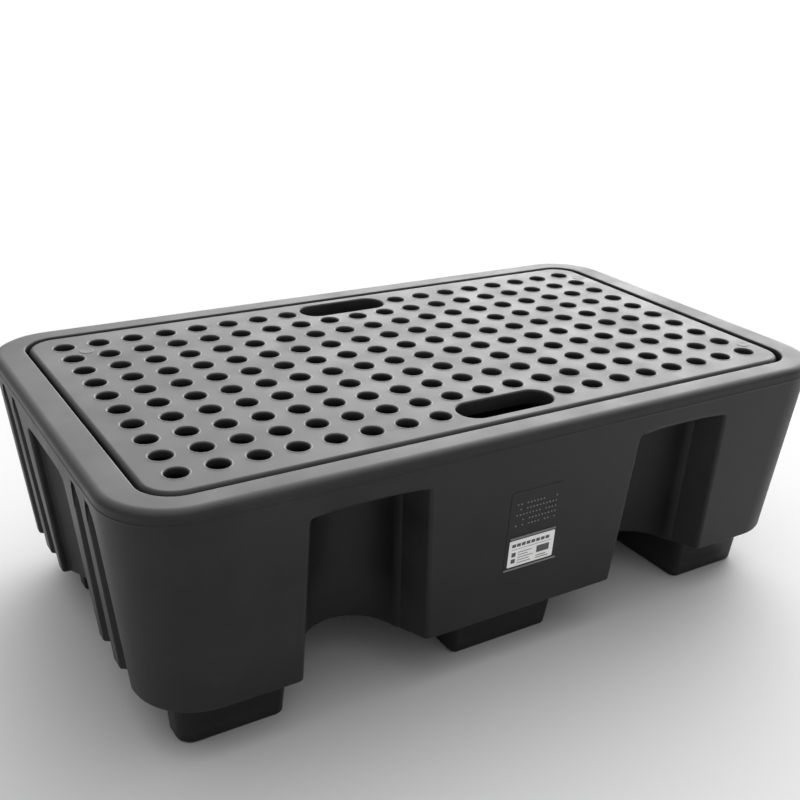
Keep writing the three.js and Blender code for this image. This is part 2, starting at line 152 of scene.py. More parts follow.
def mirror_plan(plan: Plan, sx: int, sy: int) -> Plan:
    """A plan line seen in a mirror, still anticlockwise.

    Args:
        plan: The line.
        sx, sy: -1 to mirror along that axis, 1 to keep it.

    Returns:
        The mirrored line.
    """
    turned = [(x * sx, y * sy) for x, y in plan]
    return turned[::-1] if sx * sy < 0 else turned


# ------------------------------------------------------------------ mesh work


class Shell:
    """A mesh that grows ring by ring and patch by patch."""

    def __init__(self) -> None:
        """Starts empty."""
        self.bm = bmesh.new()
        self.strength = self.bm.faces.layers.int.new(FACE_STRENGTH)

    def ring(self, points: Ring) -> list[bmesh.types.BMVert]:
        """Adds a ring of vertices."""
        return [self.bm.verts.new(p) for p in points]

    def strip(self, low: list, high: list) -> None:
        """Quads between two rings of equal length, facing right of the way round."""
        count = len(low)
        for i in range(count):
            j = (i + 1) % count
            self.bm.faces.new((low[i], low[j], high[j], high[i]))

    def loft(self, rings: Sequence[Ring]) -> tuple[list, list]:
        """Joins rings in order.

        Args:
            rings: Rings of equal length; the surface faces outwards where they are
                anticlockwise and listed upwards.

        Returns:
            The first and the last ring of vertices.
        """
        made = [self.ring(r) for r in rings]
        for low, high in zip(made, made[1:]):
            self.strip(low, high)
        return made[0], made[-1]

    def patch(self, outer: list, holes: Sequence[list] = (), up: bool = True) -> None:
        """Flat patch inside one ring and outside others.

        Args:
            outer: Vertices of the outer ring.
            holes: Vertex rings of its holes.
            up: True if the patch faces +Z.
        """
        loops = [outer, *holes]
        flat = [v for loop in loops for v in loop]
        for corner in tessellate_polygon([[v.co for v in loop] for loop in loops]):
            a, b, c = (flat[i] for i in corner)
            turn = (b.co - a.co).cross(c.co - a.co).z
            if abs(turn) < NO_AREA:
                continue
            face = self.bm.faces.new((a, b, c) if (turn > 0) == up else (a, c, b))
            face[self.strength] = STRONG

    def box(self, low: Vector, high: Vector) -> None:
        """Plain box between two corners, in metres."""
        size = high - low
        placed = Matrix.Translation((low + high) / 2) @ Matrix.Diagonal((*size, 1))
        bmesh.ops.create_cube(self.bm, size=1, matrix=placed)

    def absorb(self, mesh: bpy.types.Mesh) -> None:
        """Adds a finished mesh's faces."""
        self.bm.from_mesh(mesh)

    def weld(self) -> None:
        """Joins vertices that lie in one place and drops faces that shrink to nothing."""
        bmesh.ops.remove_doubles(self.bm, verts=self.bm.verts, dist=WELD)
        bmesh.ops.dissolve_degenerate(self.bm, edges=self.bm.edges, dist=WELD)

    def finish(self, name: str, outward: bool = False) -> bpy.types.Object:
        """Makes the object.

        Args:
            name: The piece's name.
            outward: True to recalculate the faces' direction, for closed surfaces.

        Returns:
            The new object, linked to the scene and shaded smooth.
        """
        self.weld()
        if outward:
            bmesh.ops.recalc_face_normals(self.bm, faces=self.bm.faces)
        mesh = bpy.data.meshes.new(name)
        self.bm.to_mesh(mesh)
        self.bm.free()
        mesh.shade_smooth()
        piece = bpy.data.objects.new(name, mesh)
        bpy.context.scene.collection.objects.link(piece)
        return piece


def even_shading(piece: bpy.types.Object) -> None:
    """Lets large flat faces set the shading at their rims, so only the rounds look round."""
    weighted = piece.modifiers.new("even_shading", "WEIGHTED_NORMAL")
    weighted.mode = "FACE_AREA"
    weighted.weight = 90
    weighted.thresh = 0.01
    weighted.use_face_influence = True


def settle(piece: bpy.types.Object, body: str, material: bpy.types.Material) -> None:
    """Dresses a piece and hangs it on its body.

    Args:
        piece: The finished piece.
        body: CAD body that it moves with.
        material: Its finish.
    """
    piece.data.materials.clear()
    piece.data.materials.append(material)
    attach(piece, body)
    LOG.info("%s: %d faces, rides on %s", piece.name, len(piece.data.polygons), body)


# ------------------------------------------------------------------ finishes


class Tone(Enum):
    """Linear colours of the pallet's materials."""

    TUB = (0.0095, 0.0095, 0.0105)
    # The worn tub tone is mottling, and also the painted highlight on the rim's top.
    TUB_WORN_AND_HIGHLIGHT = (0.07, 0.07, 0.071)
    DECK = (0.03, 0.03, 0.031)
    # The worn deck tone is mottling on the deck and plugs, and also the painted highlight ring round each
    # deck hole.
    DECK_WORN_AND_HIGHLIGHT = (0.15, 0.15, 0.152)
    # Pale tones of the label's ledges and pips, a painted highlight on what stands out.
    RAISED_HIGHLIGHT = (0.2, 0.2, 0.2)
    RAISED_HIGHLIGHT_PALER = (0.4, 0.4, 0.4)
    PLUG = (0.16, 0.16, 0.162)
    FILM = (0.95, 0.95, 0.94)
    INK = (0.09, 0.09, 0.095)
    FLOOR = (0.8, 0.8, 0.8)

    @property
    def rgba(self) -> tuple[float, float, float, float]:
        """The colour with full alpha."""
        return (*self.value, 1.0)


class Graph:
    """Short way to place and join nodes in a tree."""

    def __init__(self, tree: bpy.types.NodeTree) -> None:
        """Works on the given tree."""
        self.tree = tree

    def add(self, kind: str, **settings: object) -> bpy.types.Node:
        """Adds a node and sets its properties."""
        node = self.tree.nodes.new(kind)
        for key, value in settings.items():
            setattr(node, key, value)
        return node

    def join(self, source: Socket, target: Socket) -> None:
        """Links two sockets."""
        self.tree.links.new(source, target)

    def math(self, operation: str, first: object, second: object = 0.0, clamp: bool = False) -> Socket:
        """A math node on sockets or plain numbers.

        Args:
            operation: The node's operation.
            first: First value, a socket or a number.
            second: Second value, a socket or a number.
            clamp: True to keep the result from 0 to 1.

        Returns:
            The result's socket.
        """
        node = self.add("ShaderNodeMath", operation=operation, use_clamp=clamp)
        for socket, value in zip(node.inputs, (first, second)):
            if isinstance(value, Socket):
                self.join(value, socket)
            else:
                socket.default_value = value
        return node.outputs[0]


    def blend(self, share: Socket, low: Sequence[float], high: Sequence[float]) -> Socket:
        """Mixes two colours.

        Args:
            share: 0 for the first colour, 1 for the second.
            low, high: The colours, with alpha.

        Returns:
            The mixed colour's socket.
        """
        mix = self.add("ShaderNodeMix", data_type="RGBA")
        colours = [socket for socket in mix.inputs if socket.type == "RGBA"]
        colours[0].default_value = low
        colours[1].default_value = high
        self.join(share, mix.inputs[0])
        return next(socket for socket in mix.outputs if socket.type == "RGBA")

    def split(self, vector: Socket) -> bpy.types.NodeOutputs:
        """X, Y and Z of a vector."""
        node = self.add("ShaderNodeSeparateXYZ")
        self.join(vector, node.inputs[0])
        return node.outputs

    def scatter(self, points: Socket, shape: Socket, finish: Socket) -> Socket:
        """Real copies of a shape on points, with a finish.

        Args:
            points: Geometry whose points are used.
            shape: Geometry that is copied.
            finish: Material of every copy.

        Returns:
            The copies' socket.
        """
        copies = self.add("GeometryNodeInstanceOnPoints")
        self.join(points, copies.inputs["Points"])
        self.join(shape, copies.inputs["Instance"])
        real = self.add("GeometryNodeRealizeInstances")
        self.join(copies.outputs[0], real.inputs[0])
        paint = self.add("GeometryNodeSetMaterial")
        self.join(real.outputs[0], paint.inputs["Geometry"])
        self.join(finish, paint.inputs["Material"])
        return paint.outputs[0]


Mask = Callable[[Graph, Socket], Socket]


def new_material(name: str) -> tuple[bpy.types.Material, Graph]:
    """A material without nodes, and the graph to fill it with."""
    material = bpy.data.materials.new(name)
    material.use_nodes = True
    material.node_tree.nodes.clear()
    return material, Graph(material.node_tree)


def group_tree(name: str, kind: str, inputs: Sequence[tuple], outputs: Sequence[tuple]) -> bpy.types.NodeTree:
    """A new node group with named sockets.

    Args:
        name: The group's name.
        kind: Type of tree, such as ShaderNodeTree.
        inputs: (name, socket type, default or None) of each input.
        outputs: (name, socket type) of each output.

    Returns:
        The group, still empty of nodes.
    """
    tree = bpy.data.node_groups.new(name, kind)
    for label, socket_type, default in inputs:
        socket = tree.interface.new_socket(label, in_out="INPUT", socket_type=socket_type)
        if default is not None:
            socket.default_value = default
    for label, socket_type in outputs:
        tree.interface.new_socket(label, in_out="OUTPUT", socket_type=socket_type)
    return tree


class MouldedSurface:
    """Shared effect: cloudy mottling, pale scuffs and a fine orange-peel skin of moulded plastic."""

    tree: bpy.types.NodeTree | None = None
    cloud_start: float = 0.36
    cloud_gain: float = 2.4
    cloud_wear: float = 0.55
    cloud_roughness: float = 0.14
    scuff_stretch: tuple[float, float, float] = (26.0, 150.0, 60.0)
    scuff_turn: float = 0.5
    scuff_start: float = 0.6
    scuff_gain: float = 6.0
    scuff_roughness: float = 0.12
    ripple_scale: float = 34.0
    grain_share: float = 0.35

    @classmethod
    def group(cls) -> bpy.types.NodeTree:
        """The shader group, built on first use."""
        if cls.tree is None:
            cls.tree = cls.build()
        return cls.tree

    @classmethod
    def build(cls) -> bpy.types.NodeTree:
        """Makes the group.

        Returns:
            A shader group with Wear, Roughness and Height outputs.
        """
        tree = group_tree(
            "moulded_surface", "ShaderNodeTree",
            [("Vector", "NodeSocketVector", None), ("Cloud Scale", "NodeSocketFloat", 9.0),
             ("Scuff Amount", "NodeSocketFloat", 0.5), ("Grain Scale", "NodeSocketFloat", 900.0),
             ("Base Roughness", "NodeSocketFloat", 0.5)],
            [("Wear", "NodeSocketFloat"), ("Roughness", "NodeSocketFloat"), ("Height", "NodeSocketFloat")],
        )
        g = Graph(tree)
        given = g.add("NodeGroupInput").outputs
        made = g.add("NodeGroupOutput").inputs
        cloud = g.add("ShaderNodeTexNoise")
        cloud.inputs["Detail"].default_value = 5
        cloud.inputs["Roughness"].default_value = 0.62
        g.join(given["Vector"], cloud.inputs["Vector"])
        g.join(given["Cloud Scale"], cloud.inputs["Scale"])
        above = g.math("SUBTRACT", cloud.outputs[0], cls.cloud_start)
        soft = g.math("MULTIPLY", above, cls.cloud_gain, clamp=True)

        stretch = g.add("ShaderNodeMapping")
        stretch.inputs["Scale"].default_value = cls.scuff_stretch
        stretch.inputs["Rotation"].default_value = (0.0, 0.0, cls.scuff_turn)
        g.join(given["Vector"], stretch.inputs["Vector"])
        scratch = g.add("ShaderNodeTexNoise")
        scratch.inputs["Scale"].default_value = 1.0
        scratch.inputs["Detail"].default_value = 3
        g.join(stretch.outputs[0], scratch.inputs["Vector"])
        above = g.math("SUBTRACT", scratch.outputs[0], cls.scuff_start)
        scuff = g.math("MULTIPLY", above, cls.scuff_gain, clamp=True)
        scuff = g.math("MULTIPLY", g.math("MULTIPLY", scuff, soft), given["Scuff Amount"])
        wear = g.math("ADD", g.math("MULTIPLY", soft, cls.cloud_wear), scuff, clamp=True)
        g.join(wear, made["Wear"])

        clouding = g.math("MULTIPLY", g.math("SUBTRACT", soft, 0.5), cls.cloud_roughness)
        rough = g.math("ADD", given["Base Roughness"], clouding)
        rough = g.math("ADD", rough, g.math("MULTIPLY", scuff, cls.scuff_roughness))
        g.join(rough, made["Roughness"])

        grain = g.add("ShaderNodeTexNoise")
        grain.inputs["Detail"].default_value = 2
        g.join(given["Vector"], grain.inputs["Vector"])
        g.join(given["Grain Scale"], grain.inputs["Scale"])
        ripple = g.add("ShaderNodeTexNoise")
        ripple.inputs["Scale"].default_value = cls.ripple_scale
        g.join(given["Vector"], ripple.inputs["Vector"])
        fine = g.math("MULTIPLY", grain.outputs[0], cls.grain_share)
        g.join(g.math("ADD", fine, ripple.outputs[0]), made["Height"])
        return tree


@dataclass(frozen=True)
class Polyethylene:
    """A moulded plastic finish: its fresh colour, the colour that wear and painted highlights blend towards,
    roughness, and how strong its marks are.
    """

    name: str
    fresh: Tone
    worn_and_highlight: Tone
    roughness: float
    scuffs: float = 0.5
    cloud_scale: float = 9.0
    relief: float = 0.00016
    bump: float = 0.35
    specular: float = 0.3
    mottling: float = 0.36

    def material(self, painted_highlight: Mask | None = None) -> bpy.types.Material:
        """Builds the material.

        Args:
            painted_highlight: Makes the mask of a painted highlight from the object position.

        Returns:
            The finished material.
        """
        material, g = new_material(self.name)
        place = g.add("ShaderNodeTexCoord").outputs["Object"]
        surface = g.add("ShaderNodeGroup", node_tree=MouldedSurface.group())
        g.join(place, surface.inputs["Vector"])
        surface.inputs["Cloud Scale"].default_value = self.cloud_scale
        surface.inputs["Scuff Amount"].default_value = self.scuffs
        surface.inputs["Base Roughness"].default_value = self.roughness
        wear = g.math("MULTIPLY", surface.outputs["Wear"], self.mottling)
        # A painted highlight mask, where given, adds to the mottling's share of the paler colour.
        if painted_highlight is not None:
            wear = g.math("ADD", wear, painted_highlight(g, place), clamp=True)
        colour = g.blend(wear, self.fresh.rgba, self.worn_and_highlight.rgba)
        bump = g.add("ShaderNodeBump")
        bump.inputs["Strength"].default_value = self.bump
        bump.inputs["Distance"].default_value = self.relief
        g.join(surface.outputs["Height"], bump.inputs["Height"])
        plastic = g.add("ShaderNodeBsdfPrincipled")
        plastic.inputs["IOR"].default_value = 1.5
        plastic.inputs["Specular IOR Level"].default_value = self.specular
        g.join(colour, plastic.inputs["Base Color"])
        g.join(surface.outputs["Roughness"], plastic.inputs["Roughness"])
        g.join(bump.outputs[0], plastic.inputs["Normal"])
        g.join(plastic.outputs[0], g.add("ShaderNodeOutputMaterial").inputs["Surface"])
        return material


@dataclass(frozen=True)
class PlainFinish:
    """A film, ink or floor finish with only slight unevenness."""

    name: str
    tone: Tone
    roughness: float
    unevenness: float = 0.06

    def material(self) -> bpy.types.Material:
        """Builds the material."""
        material, g = new_material(self.name)
        noise = g.add("ShaderNodeTexNoise")
        noise.inputs["Scale"].default_value = 60.0
        g.join(g.add("ShaderNodeTexCoord").outputs["Object"], noise.inputs["Vector"])
        dim = tuple(c * (1 - self.unevenness) for c in self.tone.value)
        colour = g.blend(noise.outputs[0], (*dim, 1.0), self.tone.rgba)
        plastic = g.add("ShaderNodeBsdfPrincipled")
        plastic.inputs["Roughness"].default_value = self.roughness
        g.join(colour, plastic.inputs["Base Color"])
        g.join(plastic.outputs[0], g.add("ShaderNodeOutputMaterial").inputs["Surface"])
        return material


# ------------------------------------------------------------------ tub


@dataclass(frozen=True)
class Hollow:
    """How far a hollow in the wall has closed at one level: its height, depth share and narrowing."""

    z: float
    depth: float = 1.0
    inset: float = 0.0


@dataclass
class SumpTub:
    """The one-piece tub: leaning walls with bays, end recesses and grooves, rolled rim, hollow feet.

    Lengths ending in base are taken at the underside and those ending in top at the upper end of the
    same feature. A rounding is the radius of an edge, and a drop is measured down from the rim.
    """

    # Walls, rim and deck ledge
    foot_height: float = 85.0
    wall: float = 7.0
    end_lean: float = 48.0
    side_lean: float = 27.5
    rim_corner: float = 106.0
    base_corner: float = 96.5
    rim_rounding: float = 10.0
    base_rounding: float = 3.0
    rim_end_width: float = 52.5
    rim_side_width: float = 44.0
    mouth_corner: float = 55.0
    mouth_rounding: float = 3.0
    ledge_width: float = 16.0
    ledge_thickness: float = 8.0
    seam_low: float = 388.2
    seam_high: float = 391.2
    seam_proud: float = 0.8
    seam_slope: float = 0.6
    rim_crown: float = 14.0
    floor_fillet: float = 6.0
    plain_drop: float = 24.0
    closing_reach: float = 30.0
    land: float = 12.0

    # Bays in the long sides
    bay_drop: float = 55.0
    block_half_base: float = 180.0
    block_half_top: float = 199.0
    bay_mouth_base: float = 207.0
    bay_mouth_top: float = 191.0
    bay_edge: float = 8.0
    bay_round: float = 9.0
    bay_depth: float = 118.0
    scoop_shoulder: float = 25.0
    scoop_middle: float = 40.0
    flare: tuple[float, float] = (20.0, 46.0)
    flare_round: float = 3.0
    facet_depth: float = 54.0

    # Recess and grooves in the ends
    recess_half: float = 98.0
    recess_edge_depth: float = 12.0
    recess_depth: float = 37.0
    recess_round: float = 13.0
    recess_edge: float = 6.0
    recess_rounds: tuple[float, float] = (4.0, 5.0)
    recess_steps: int = 10
    groove_base: tuple[float, float] = (144.0, 221.0)
    groove_top: tuple[float, float] = (168.0, 232.0)
    groove_half_base: float = 26.0
    groove_half_top: float = 20.0
    groove_depth: float = 13.0
    groove_drop: float = 33.0
    groove_tip: float = 26.0
    groove_land: float = 3.0
    groove_lip: float = 2.0
    groove_slope: float = 0.42
    groove_rounds: tuple[float, float] = (7.0, 14.0)
    groove_tip_narrowing: float = 0.6
    groove_notch: float = 1.0

    # Feet
    foot_lean: float = 10.0
    foot_bay_lean: float = 3.0
    foot_bay_setback: float = 4.0
    foot_end_setback: float = 53.0
    foot_side_setback: float = 52.5
    foot_inner_end: float = 90.0
    centre_foot_half: float = 94.0
    corner_foot_radius: float = 47.0
    centre_foot_radius: float = 10.0
    foot_inner_radius: float = 12.0
    foot_rounding: float = 4.0

    # Steps of the mesh
    closing_steps: int = 14
    corner_steps: int = 14
    scoop_steps: int = 26

    def __post_init__(self) -> None:
        """Takes the overall sizes from the CAD tub."""
        low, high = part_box("sump_tub")
        self.half_x = high.x / MM
        self.half_y = high.y / MM
        self.height = high.z / MM
        self.rim_edge = self.height - self.rim_rounding
        self.bay_top = self.height - self.bay_drop
        self.shelf = self.bay_top + self.wall
        self.floor = self.foot_height + self.wall
        self.mouth_x = self.half_x - self.rim_end_width
        self.mouth_y = self.half_y - self.rim_side_width
        self.base_x = self.half_x - self.end_lean
        self.base_y = self.half_y - self.side_lean
        self.last_hollow = self.height - self.plain_drop

    # The outer wall at height z

    def share(self, z: float) -> float:
        """0 at the underside, 1 where the rim's rounding starts."""
        return (z - self.foot_height) / (self.rim_edge - self.foot_height)

    def end_x(self, z: float) -> float:
        """Half length of the wall at height z."""
        return between(self.base_x, self.half_x, self.share(z))

    def side_y(self, z: float) -> float:
        """Half width of the wall at height z."""
        return between(self.base_y, self.half_y, self.share(z))

    def corner_r(self, z: float) -> float:
        """Corner radius of the wall at height z."""
        return between(self.base_corner, self.rim_corner, self.share(z))

    # Hollows as (along the face, depth) lines, all with a fixed number of points

    def recess_line(self, state: Hollow, grow: float) -> Plan:
        """Half of the end recess, from its middle to its edge."""
        half = self.recess_half + grow - state.inset
        sagitta = self.recess_depth - self.recess_edge_depth
        radius = (half * half + sagitta * sagitta) / (2 * sagitta)
        line = []
        for i in range(self.recess_steps):
            along = half * i / self.recess_steps
            line.append((along, self.recess_depth - radius + math.sqrt(radius ** 2 - along ** 2), 0))
        inner_r, outer_r = self.recess_rounds
        line += [(half, self.recess_edge_depth, inner_r), (half, 0.0, outer_r), (half + self.land, 0.0, 0)]
        return [(a, d * state.depth) for a, d in filleted(line)]

    def groove_line(self, which: int, state: Hollow, grow: float) -> Plan:
        """One groove, from its inner to its outer edge.

        Args:
            which: 0 for the groove next to the recess, 1 for the one next to the corner.
            state: How far it has closed.
            grow: Distance of the line inside the outer skin.

        Returns:
            (along the end wall, depth) of each point.
        """
        up = max(self.share(state.z), 0.0)
        centre = between(self.groove_base[which], self.groove_top[which], up)
        half = between(self.groove_half_base, self.groove_half_top, up) + grow - state.inset
        slope = self.groove_slope * half
        lip_r, bed_r = self.groove_rounds
        shape = [(-half - self.groove_land, 0, 0), (self.groove_lip - half, 0, lip_r)]
        shape.append((slope - half, self.groove_depth, bed_r))
        shape += [(-along, depth, radius) for along, depth, radius in shape[::-1]]
        line = [(centre + along, depth, radius) for along, depth, radius in shape]
        return [(a, d * state.depth) for a, d in filleted(line)]

    def bay_line(self, state: Hollow, grow: float) -> Plan:
        """One bay, from its edge on the centre block to its edge on the corner block.

        Args:
            state: How far it has closed.
            grow: Distance of the line inside the outer skin.

        Returns:
            (along the side wall, depth) of each point: a flare, a scoop as an arc, a flare.
        """
        share = (state.z - self.foot_height) / (self.bay_top - self.foot_height)
        share = min(max(share, 0.0), 1.0)
        near = between(self.block_half_base, self.block_half_top, share)
        mouth = between(self.bay_mouth_base, self.bay_mouth_top, share)
        spread = grow - state.inset
        middle = near + mouth / 2
        radius = mouth / 2 - self.scoop_shoulder + spread
        lean = math.asin((self.facet_depth - self.scoop_middle) / radius)
        near -= spread
        far = near + mouth + 2 * spread
        flare_x, flare_depth = self.flare
        line = [(near - self.land, 0.0, 0), (near, 0.0, self.bay_edge)]
        line.append((near + flare_x, flare_depth, self.flare_round))
        sweep = math.pi - 2 * lean
        for i in range(self.scoop_steps + 1):
            angle = math.pi - lean - sweep * i / self.scoop_steps
            depth = self.scoop_middle + radius * math.sin(angle)
            line.append((middle + radius * math.cos(angle), depth, 0))
        line.append((far - flare_x, flare_depth, self.flare_round))
        line += [(far, 0.0, self.bay_edge), (far + self.land, 0.0, 0)]
        return [(a, d * state.depth) for a, d in filleted(line)]

    def quarter(self, wall_z: float, bay: Hollow, recess: Hollow, groove: Hollow, grow: float) -> Ring:
        """The outline in the (+X, +Y) quarter, from the X axis round to the Y axis.

        Args:
            wall_z: Height of the plain wall's points.
            bay, recess, groove: How far each kind of hollow has closed.
            grow: Distance of this outline inside the outer skin.

        Returns:
            Points in metres.
        """
        def end_point(along: float, depth: float, z: float) -> Vector:
            """A point at a depth in the end wall."""
            return Vector((self.end_x(z) - grow - depth, along, z)) * MM

        def side_point(along: float, depth: float, z: float) -> Vector:
            """A point at a depth in the side wall."""
            return Vector((along, self.side_y(z) - grow - depth, z)) * MM

        def height(depth: float, state: Hollow) -> float:
            """The hollow's height inside it, the wall's height on its lands."""
            return state.z if depth > SHALLOW or state.depth < SHALLOW else wall_z

        points = [end_point(a, d, recess.z) for a, d in self.recess_line(recess, grow)[:-1]]
        for which in range(len(self.groove_base)):
            points += [end_point(a, d, height(d, groove)) for a, d in self.groove_line(which, groove, grow)]
        radius = self.corner_r(wall_z) - grow
        cx = self.end_x(wall_z) - grow - radius
        cy = self.side_y(wall_z) - grow - radius
        for i in range(self.corner_steps + 1):
            angle = QUARTER * i / self.corner_steps
            x, y = cx + radius * math.cos(angle), cy + radius * math.sin(angle)
            points.append(Vector((x, y, wall_z)) * MM)
        bay_points = [side_point(a, d, bay.z) for a, d in self.bay_line(bay, grow)[1:-1]]
        points += bay_points[::-1]
        points.append(side_point(self.block_half_base * 0.5, 0.0, wall_z))
        points.append(side_point(0.0, 0.0, wall_z))
        return points

    @staticmethod
    def all_round(quarter: Ring) -> Ring:
        """The whole ring from its first quarter, anticlockwise from the +X axis."""
        second = [Vector((-p.x, p.y, p.z)) for p in quarter[::-1]][1:]
        half = quarter + second
        back = [Vector((p.x, -p.y, p.z)) for p in half[::-1]][1:-1]
        return half + back

    def level(self, z: float, grow: float = 0.0) -> Ring:
        """A level ring below the hollows' ceilings, `grow` inside the outer skin."""
        still = Hollow(z)
        return self.all_round(self.quarter(z, still, still, still, grow))

    def closing_levels(self, low: float) -> list[Ring]:
        """Rings from below the ceilings, over them, and out to the plain wall above.

        Args:
            low: Height of the first ring.

        Returns:
            The rings, upwards.
        """
        steps = self.closing_steps
        high = self.last_hollow
        rings = []
        bays = self.ceiling(low, self.bay_round, self.bay_depth, self.bay_round)
        recesses = self.ceiling(low, self.recess_round, self.recess_depth, self.recess_edge)
        tip = self.height - self.groove_drop
        start = max(low, tip - self.groove_tip)
        narrowing = self.groove_tip_narrowing * self.groove_half_top
        for i in range(steps + 1):
            wall_z = between(low, high, i / steps)
            angle = QUARTER * min(1.0, i / (steps - 2))
            z = between(start, tip, math.sin(angle))
            if i == 0:
                groove = Hollow(low)
            elif i > steps - 2:
                groove = Hollow(max(wall_z, tip), 0.0, narrowing)
            else:
                groove = Hollow(z, max(math.cos(angle), 0.0), narrowing * (1 - math.cos(angle)))
            rings.append(self.all_round(self.quarter(wall_z, bays[i], recesses[i], groove, 0.0)))
        return rings

    def ceiling(self, low: float, inner_r: float, depth: float, edge_r: float) -> list[Hollow]:
        """How a hollow closes: an inner round, its flat ceiling, then a rounded outer edge.

        Args:
            low: Height of the first level.
            inner_r: Radius between the hollow's walls and ceiling.
            depth: Depth of the hollow.
            edge_r: Radius of the ceiling's outer edge.

        Returns:
            One state for each closing level.
        """
        top = self.bay_top
        states = [Hollow(low)]
        for i in range(5):
            angle = QUARTER * i / 4
            inset = inner_r * (1 - math.cos(angle))
            states.append(Hollow(top - inner_r + inner_r * math.sin(angle), 1 - inset / depth, inset))
        states.append(Hollow(top, 0.5, inner_r))
        outer = self.closing_steps - len(states)
        for i in range(outer):
            angle = QUARTER * i / (outer - 1)
            out = edge_r * (1 - math.sin(angle)) / depth
            states.append(Hollow(top + edge_r * (1 - math.cos(angle)), max(out, 0.0), inner_r))
        states.append(Hollow(self.last_hollow, 0.0, inner_r))
        return states

    def plain(self, like: Ring, half_x: float, half_y: float, radius: float, z: float) -> Ring:
        """A plain rounded ring whose points keep their share of each side.

        Args:
            like: Ring of the outer wall above the hollows, whose spacing is followed.
            half_x, half_y, radius: The new ring's sizes in millimetres.
            z: Its height.

        Returns:
            The ring, with as many points as `like`.
        """
        top = self.last_hollow
        old_r = self.corner_r(top)
        old_x, old_y = self.end_x(top) - old_r, self.side_y(top) - old_r
        new_x, new_y = half_x - radius, half_y - radius
        ring = []
        for p in like:
            x, y = p.x / MM, p.y / MM
            over_x = max(abs(x) - old_x, 0.0)
            over_y = max(abs(y) - old_y, 0.0)
            sx = math.copysign(1, x)
            sy = math.copysign(1, y)
            reach = math.hypot(over_x, over_y)
            if over_x > 0 and over_y > 0:
                px = new_x + radius * over_x / reach
                py = new_y + radius * over_y / reach
            elif over_x > 0:
                px, py = half_x, new_y * abs(y) / old_y
            else:
                px, py = new_x * abs(x) / old_x, half_y
            ring.append(Vector((sx * px, sy * py, z)) * MM)
        return ring

    def ledge_ring(self, inner: Ring, z: float) -> Ring:
        """The deck ledge's inner edge: the ledge line, or a bay's shelf where that lies deeper."""
        half_x = (self.mouth_x - self.ledge_width) * MM
        half_y = (self.mouth_y - self.ledge_width) * MM
        radius = (self.mouth_corner - self.ledge_width) * MM
        ring = []
        for p in inner:
            x, y = min(abs(p.x), half_x), min(abs(p.y), half_y)
            over = Vector((x - (half_x - radius), y - (half_y - radius)))
            if over.x > 0 and over.y > 0 and over.length > radius:
                over *= radius / over.length
                x, y = half_x - radius + over.x, half_y - radius + over.y
            ring.append(Vector((math.copysign(x, p.x), math.copysign(y, p.y), z * MM)))
        return ring

    # Feet

    def corner_foot(self, z: float, inset: float, notched: bool) -> Plan:
        """Plan of the (+X, +Y) corner foot at height z.

        Args:
            z: The height.
            inset: How far the plan is drawn in.
            notched: True to carry the end grooves down its outer face.

        Returns:
            The closed plan line.
        """
        lean = self.foot_lean * z / self.foot_height
        bay_lean = self.foot_bay_lean * z / self.foot_height
        x0 = self.block_half_base + self.bay_mouth_base + self.foot_bay_setback - bay_lean + inset
        x1 = self.base_x - self.foot_end_setback + lean - inset
        y0 = self.foot_inner_end - lean + inset
        y1 = self.base_y - self.foot_side_setback + lean - inset
        corners = [(x1, y0, self.foot_inner_radius)]
        if notched:
            half = self.groove_half_base - self.groove_notch
            deep = x1 - self.groove_depth
            for centre in self.groove_base:
                corners += [(x1, centre - half, 5), (deep, centre - half * 0.7, 8)]
                corners += [(deep, centre + half * 0.7, 8), (x1, centre + half, 5)]
        corners += [
            (x1, y1, self.corner_foot_radius - inset), (x0, y1, self.foot_inner_radius),
            (x0, y0, self.foot_inner_radius),
        ]
        return filleted(corners, 6, closed=True)

    def centre_foot(self, z: float, inset: float) -> Plan:
        """Plan of the +Y centre foot at height z."""
        lean = self.foot_lean * z / self.foot_height
        half = self.centre_foot_half + lean - inset
        y0 = self.foot_inner_end - lean + inset
        y1 = self.base_y - self.foot_side_setback + lean - inset
        outer = self.centre_foot_radius - inset
        return box_plan(-half, y0, half, y1, [self.foot_inner_radius, outer, outer, self.foot_inner_radius])

    def feet(self, shell: Shell) -> tuple[list, list]:
        """Adds the six feet and their hollows.

        Args:
            shell: The tub's mesh.

        Returns:
            The rings where the feet meet the underside, and where their hollows meet the floor.
        """
        joints, mouths = [], []
        r = self.foot_rounding
        skins = [(self.foot_height, 0.0), (r, 0.0), (r * 0.3, r * 0.3), (0.0, r)]
        hollows = [(self.floor, self.wall), (self.wall + r, self.wall), (self.wall, self.wall + r)]
        places = [(sx, sy, True) for sx in (1, -1) for sy in (1, -1)] + [(1, 1, False), (1, -1, False)]
        for sx, sy, corner in places:
            def plan(z: float, inset: float, notched: bool) -> Plan:
                """This foot's plan; a corner foot's hollow stays behind the grooves."""
                deep = self.groove_depth if corner and not notched else 0.0
                made = self.corner_foot(z, inset, notched) if corner else self.centre_foot(z, inset)
                limit = self.base_x - self.foot_end_setback - inset - deep
                drawn = [(min(x, limit) if deep else x, y) for x, y in made]
                return mirror_plan(drawn, sx, sy)

            outer = [lift(plan(z, inset, True), z) for z, inset in skins]
            low, high = shell.loft(outer[::-1])
            shell.patch(low, up=False)
            joints.append(high)
            inner = [lift(plan(z, inset, False), z)[::-1] for z, inset in hollows]
            low, high = shell.loft(inner[::-1])
            shell.patch(low, up=True)
            mouths.append(high)
        return joints, mouths

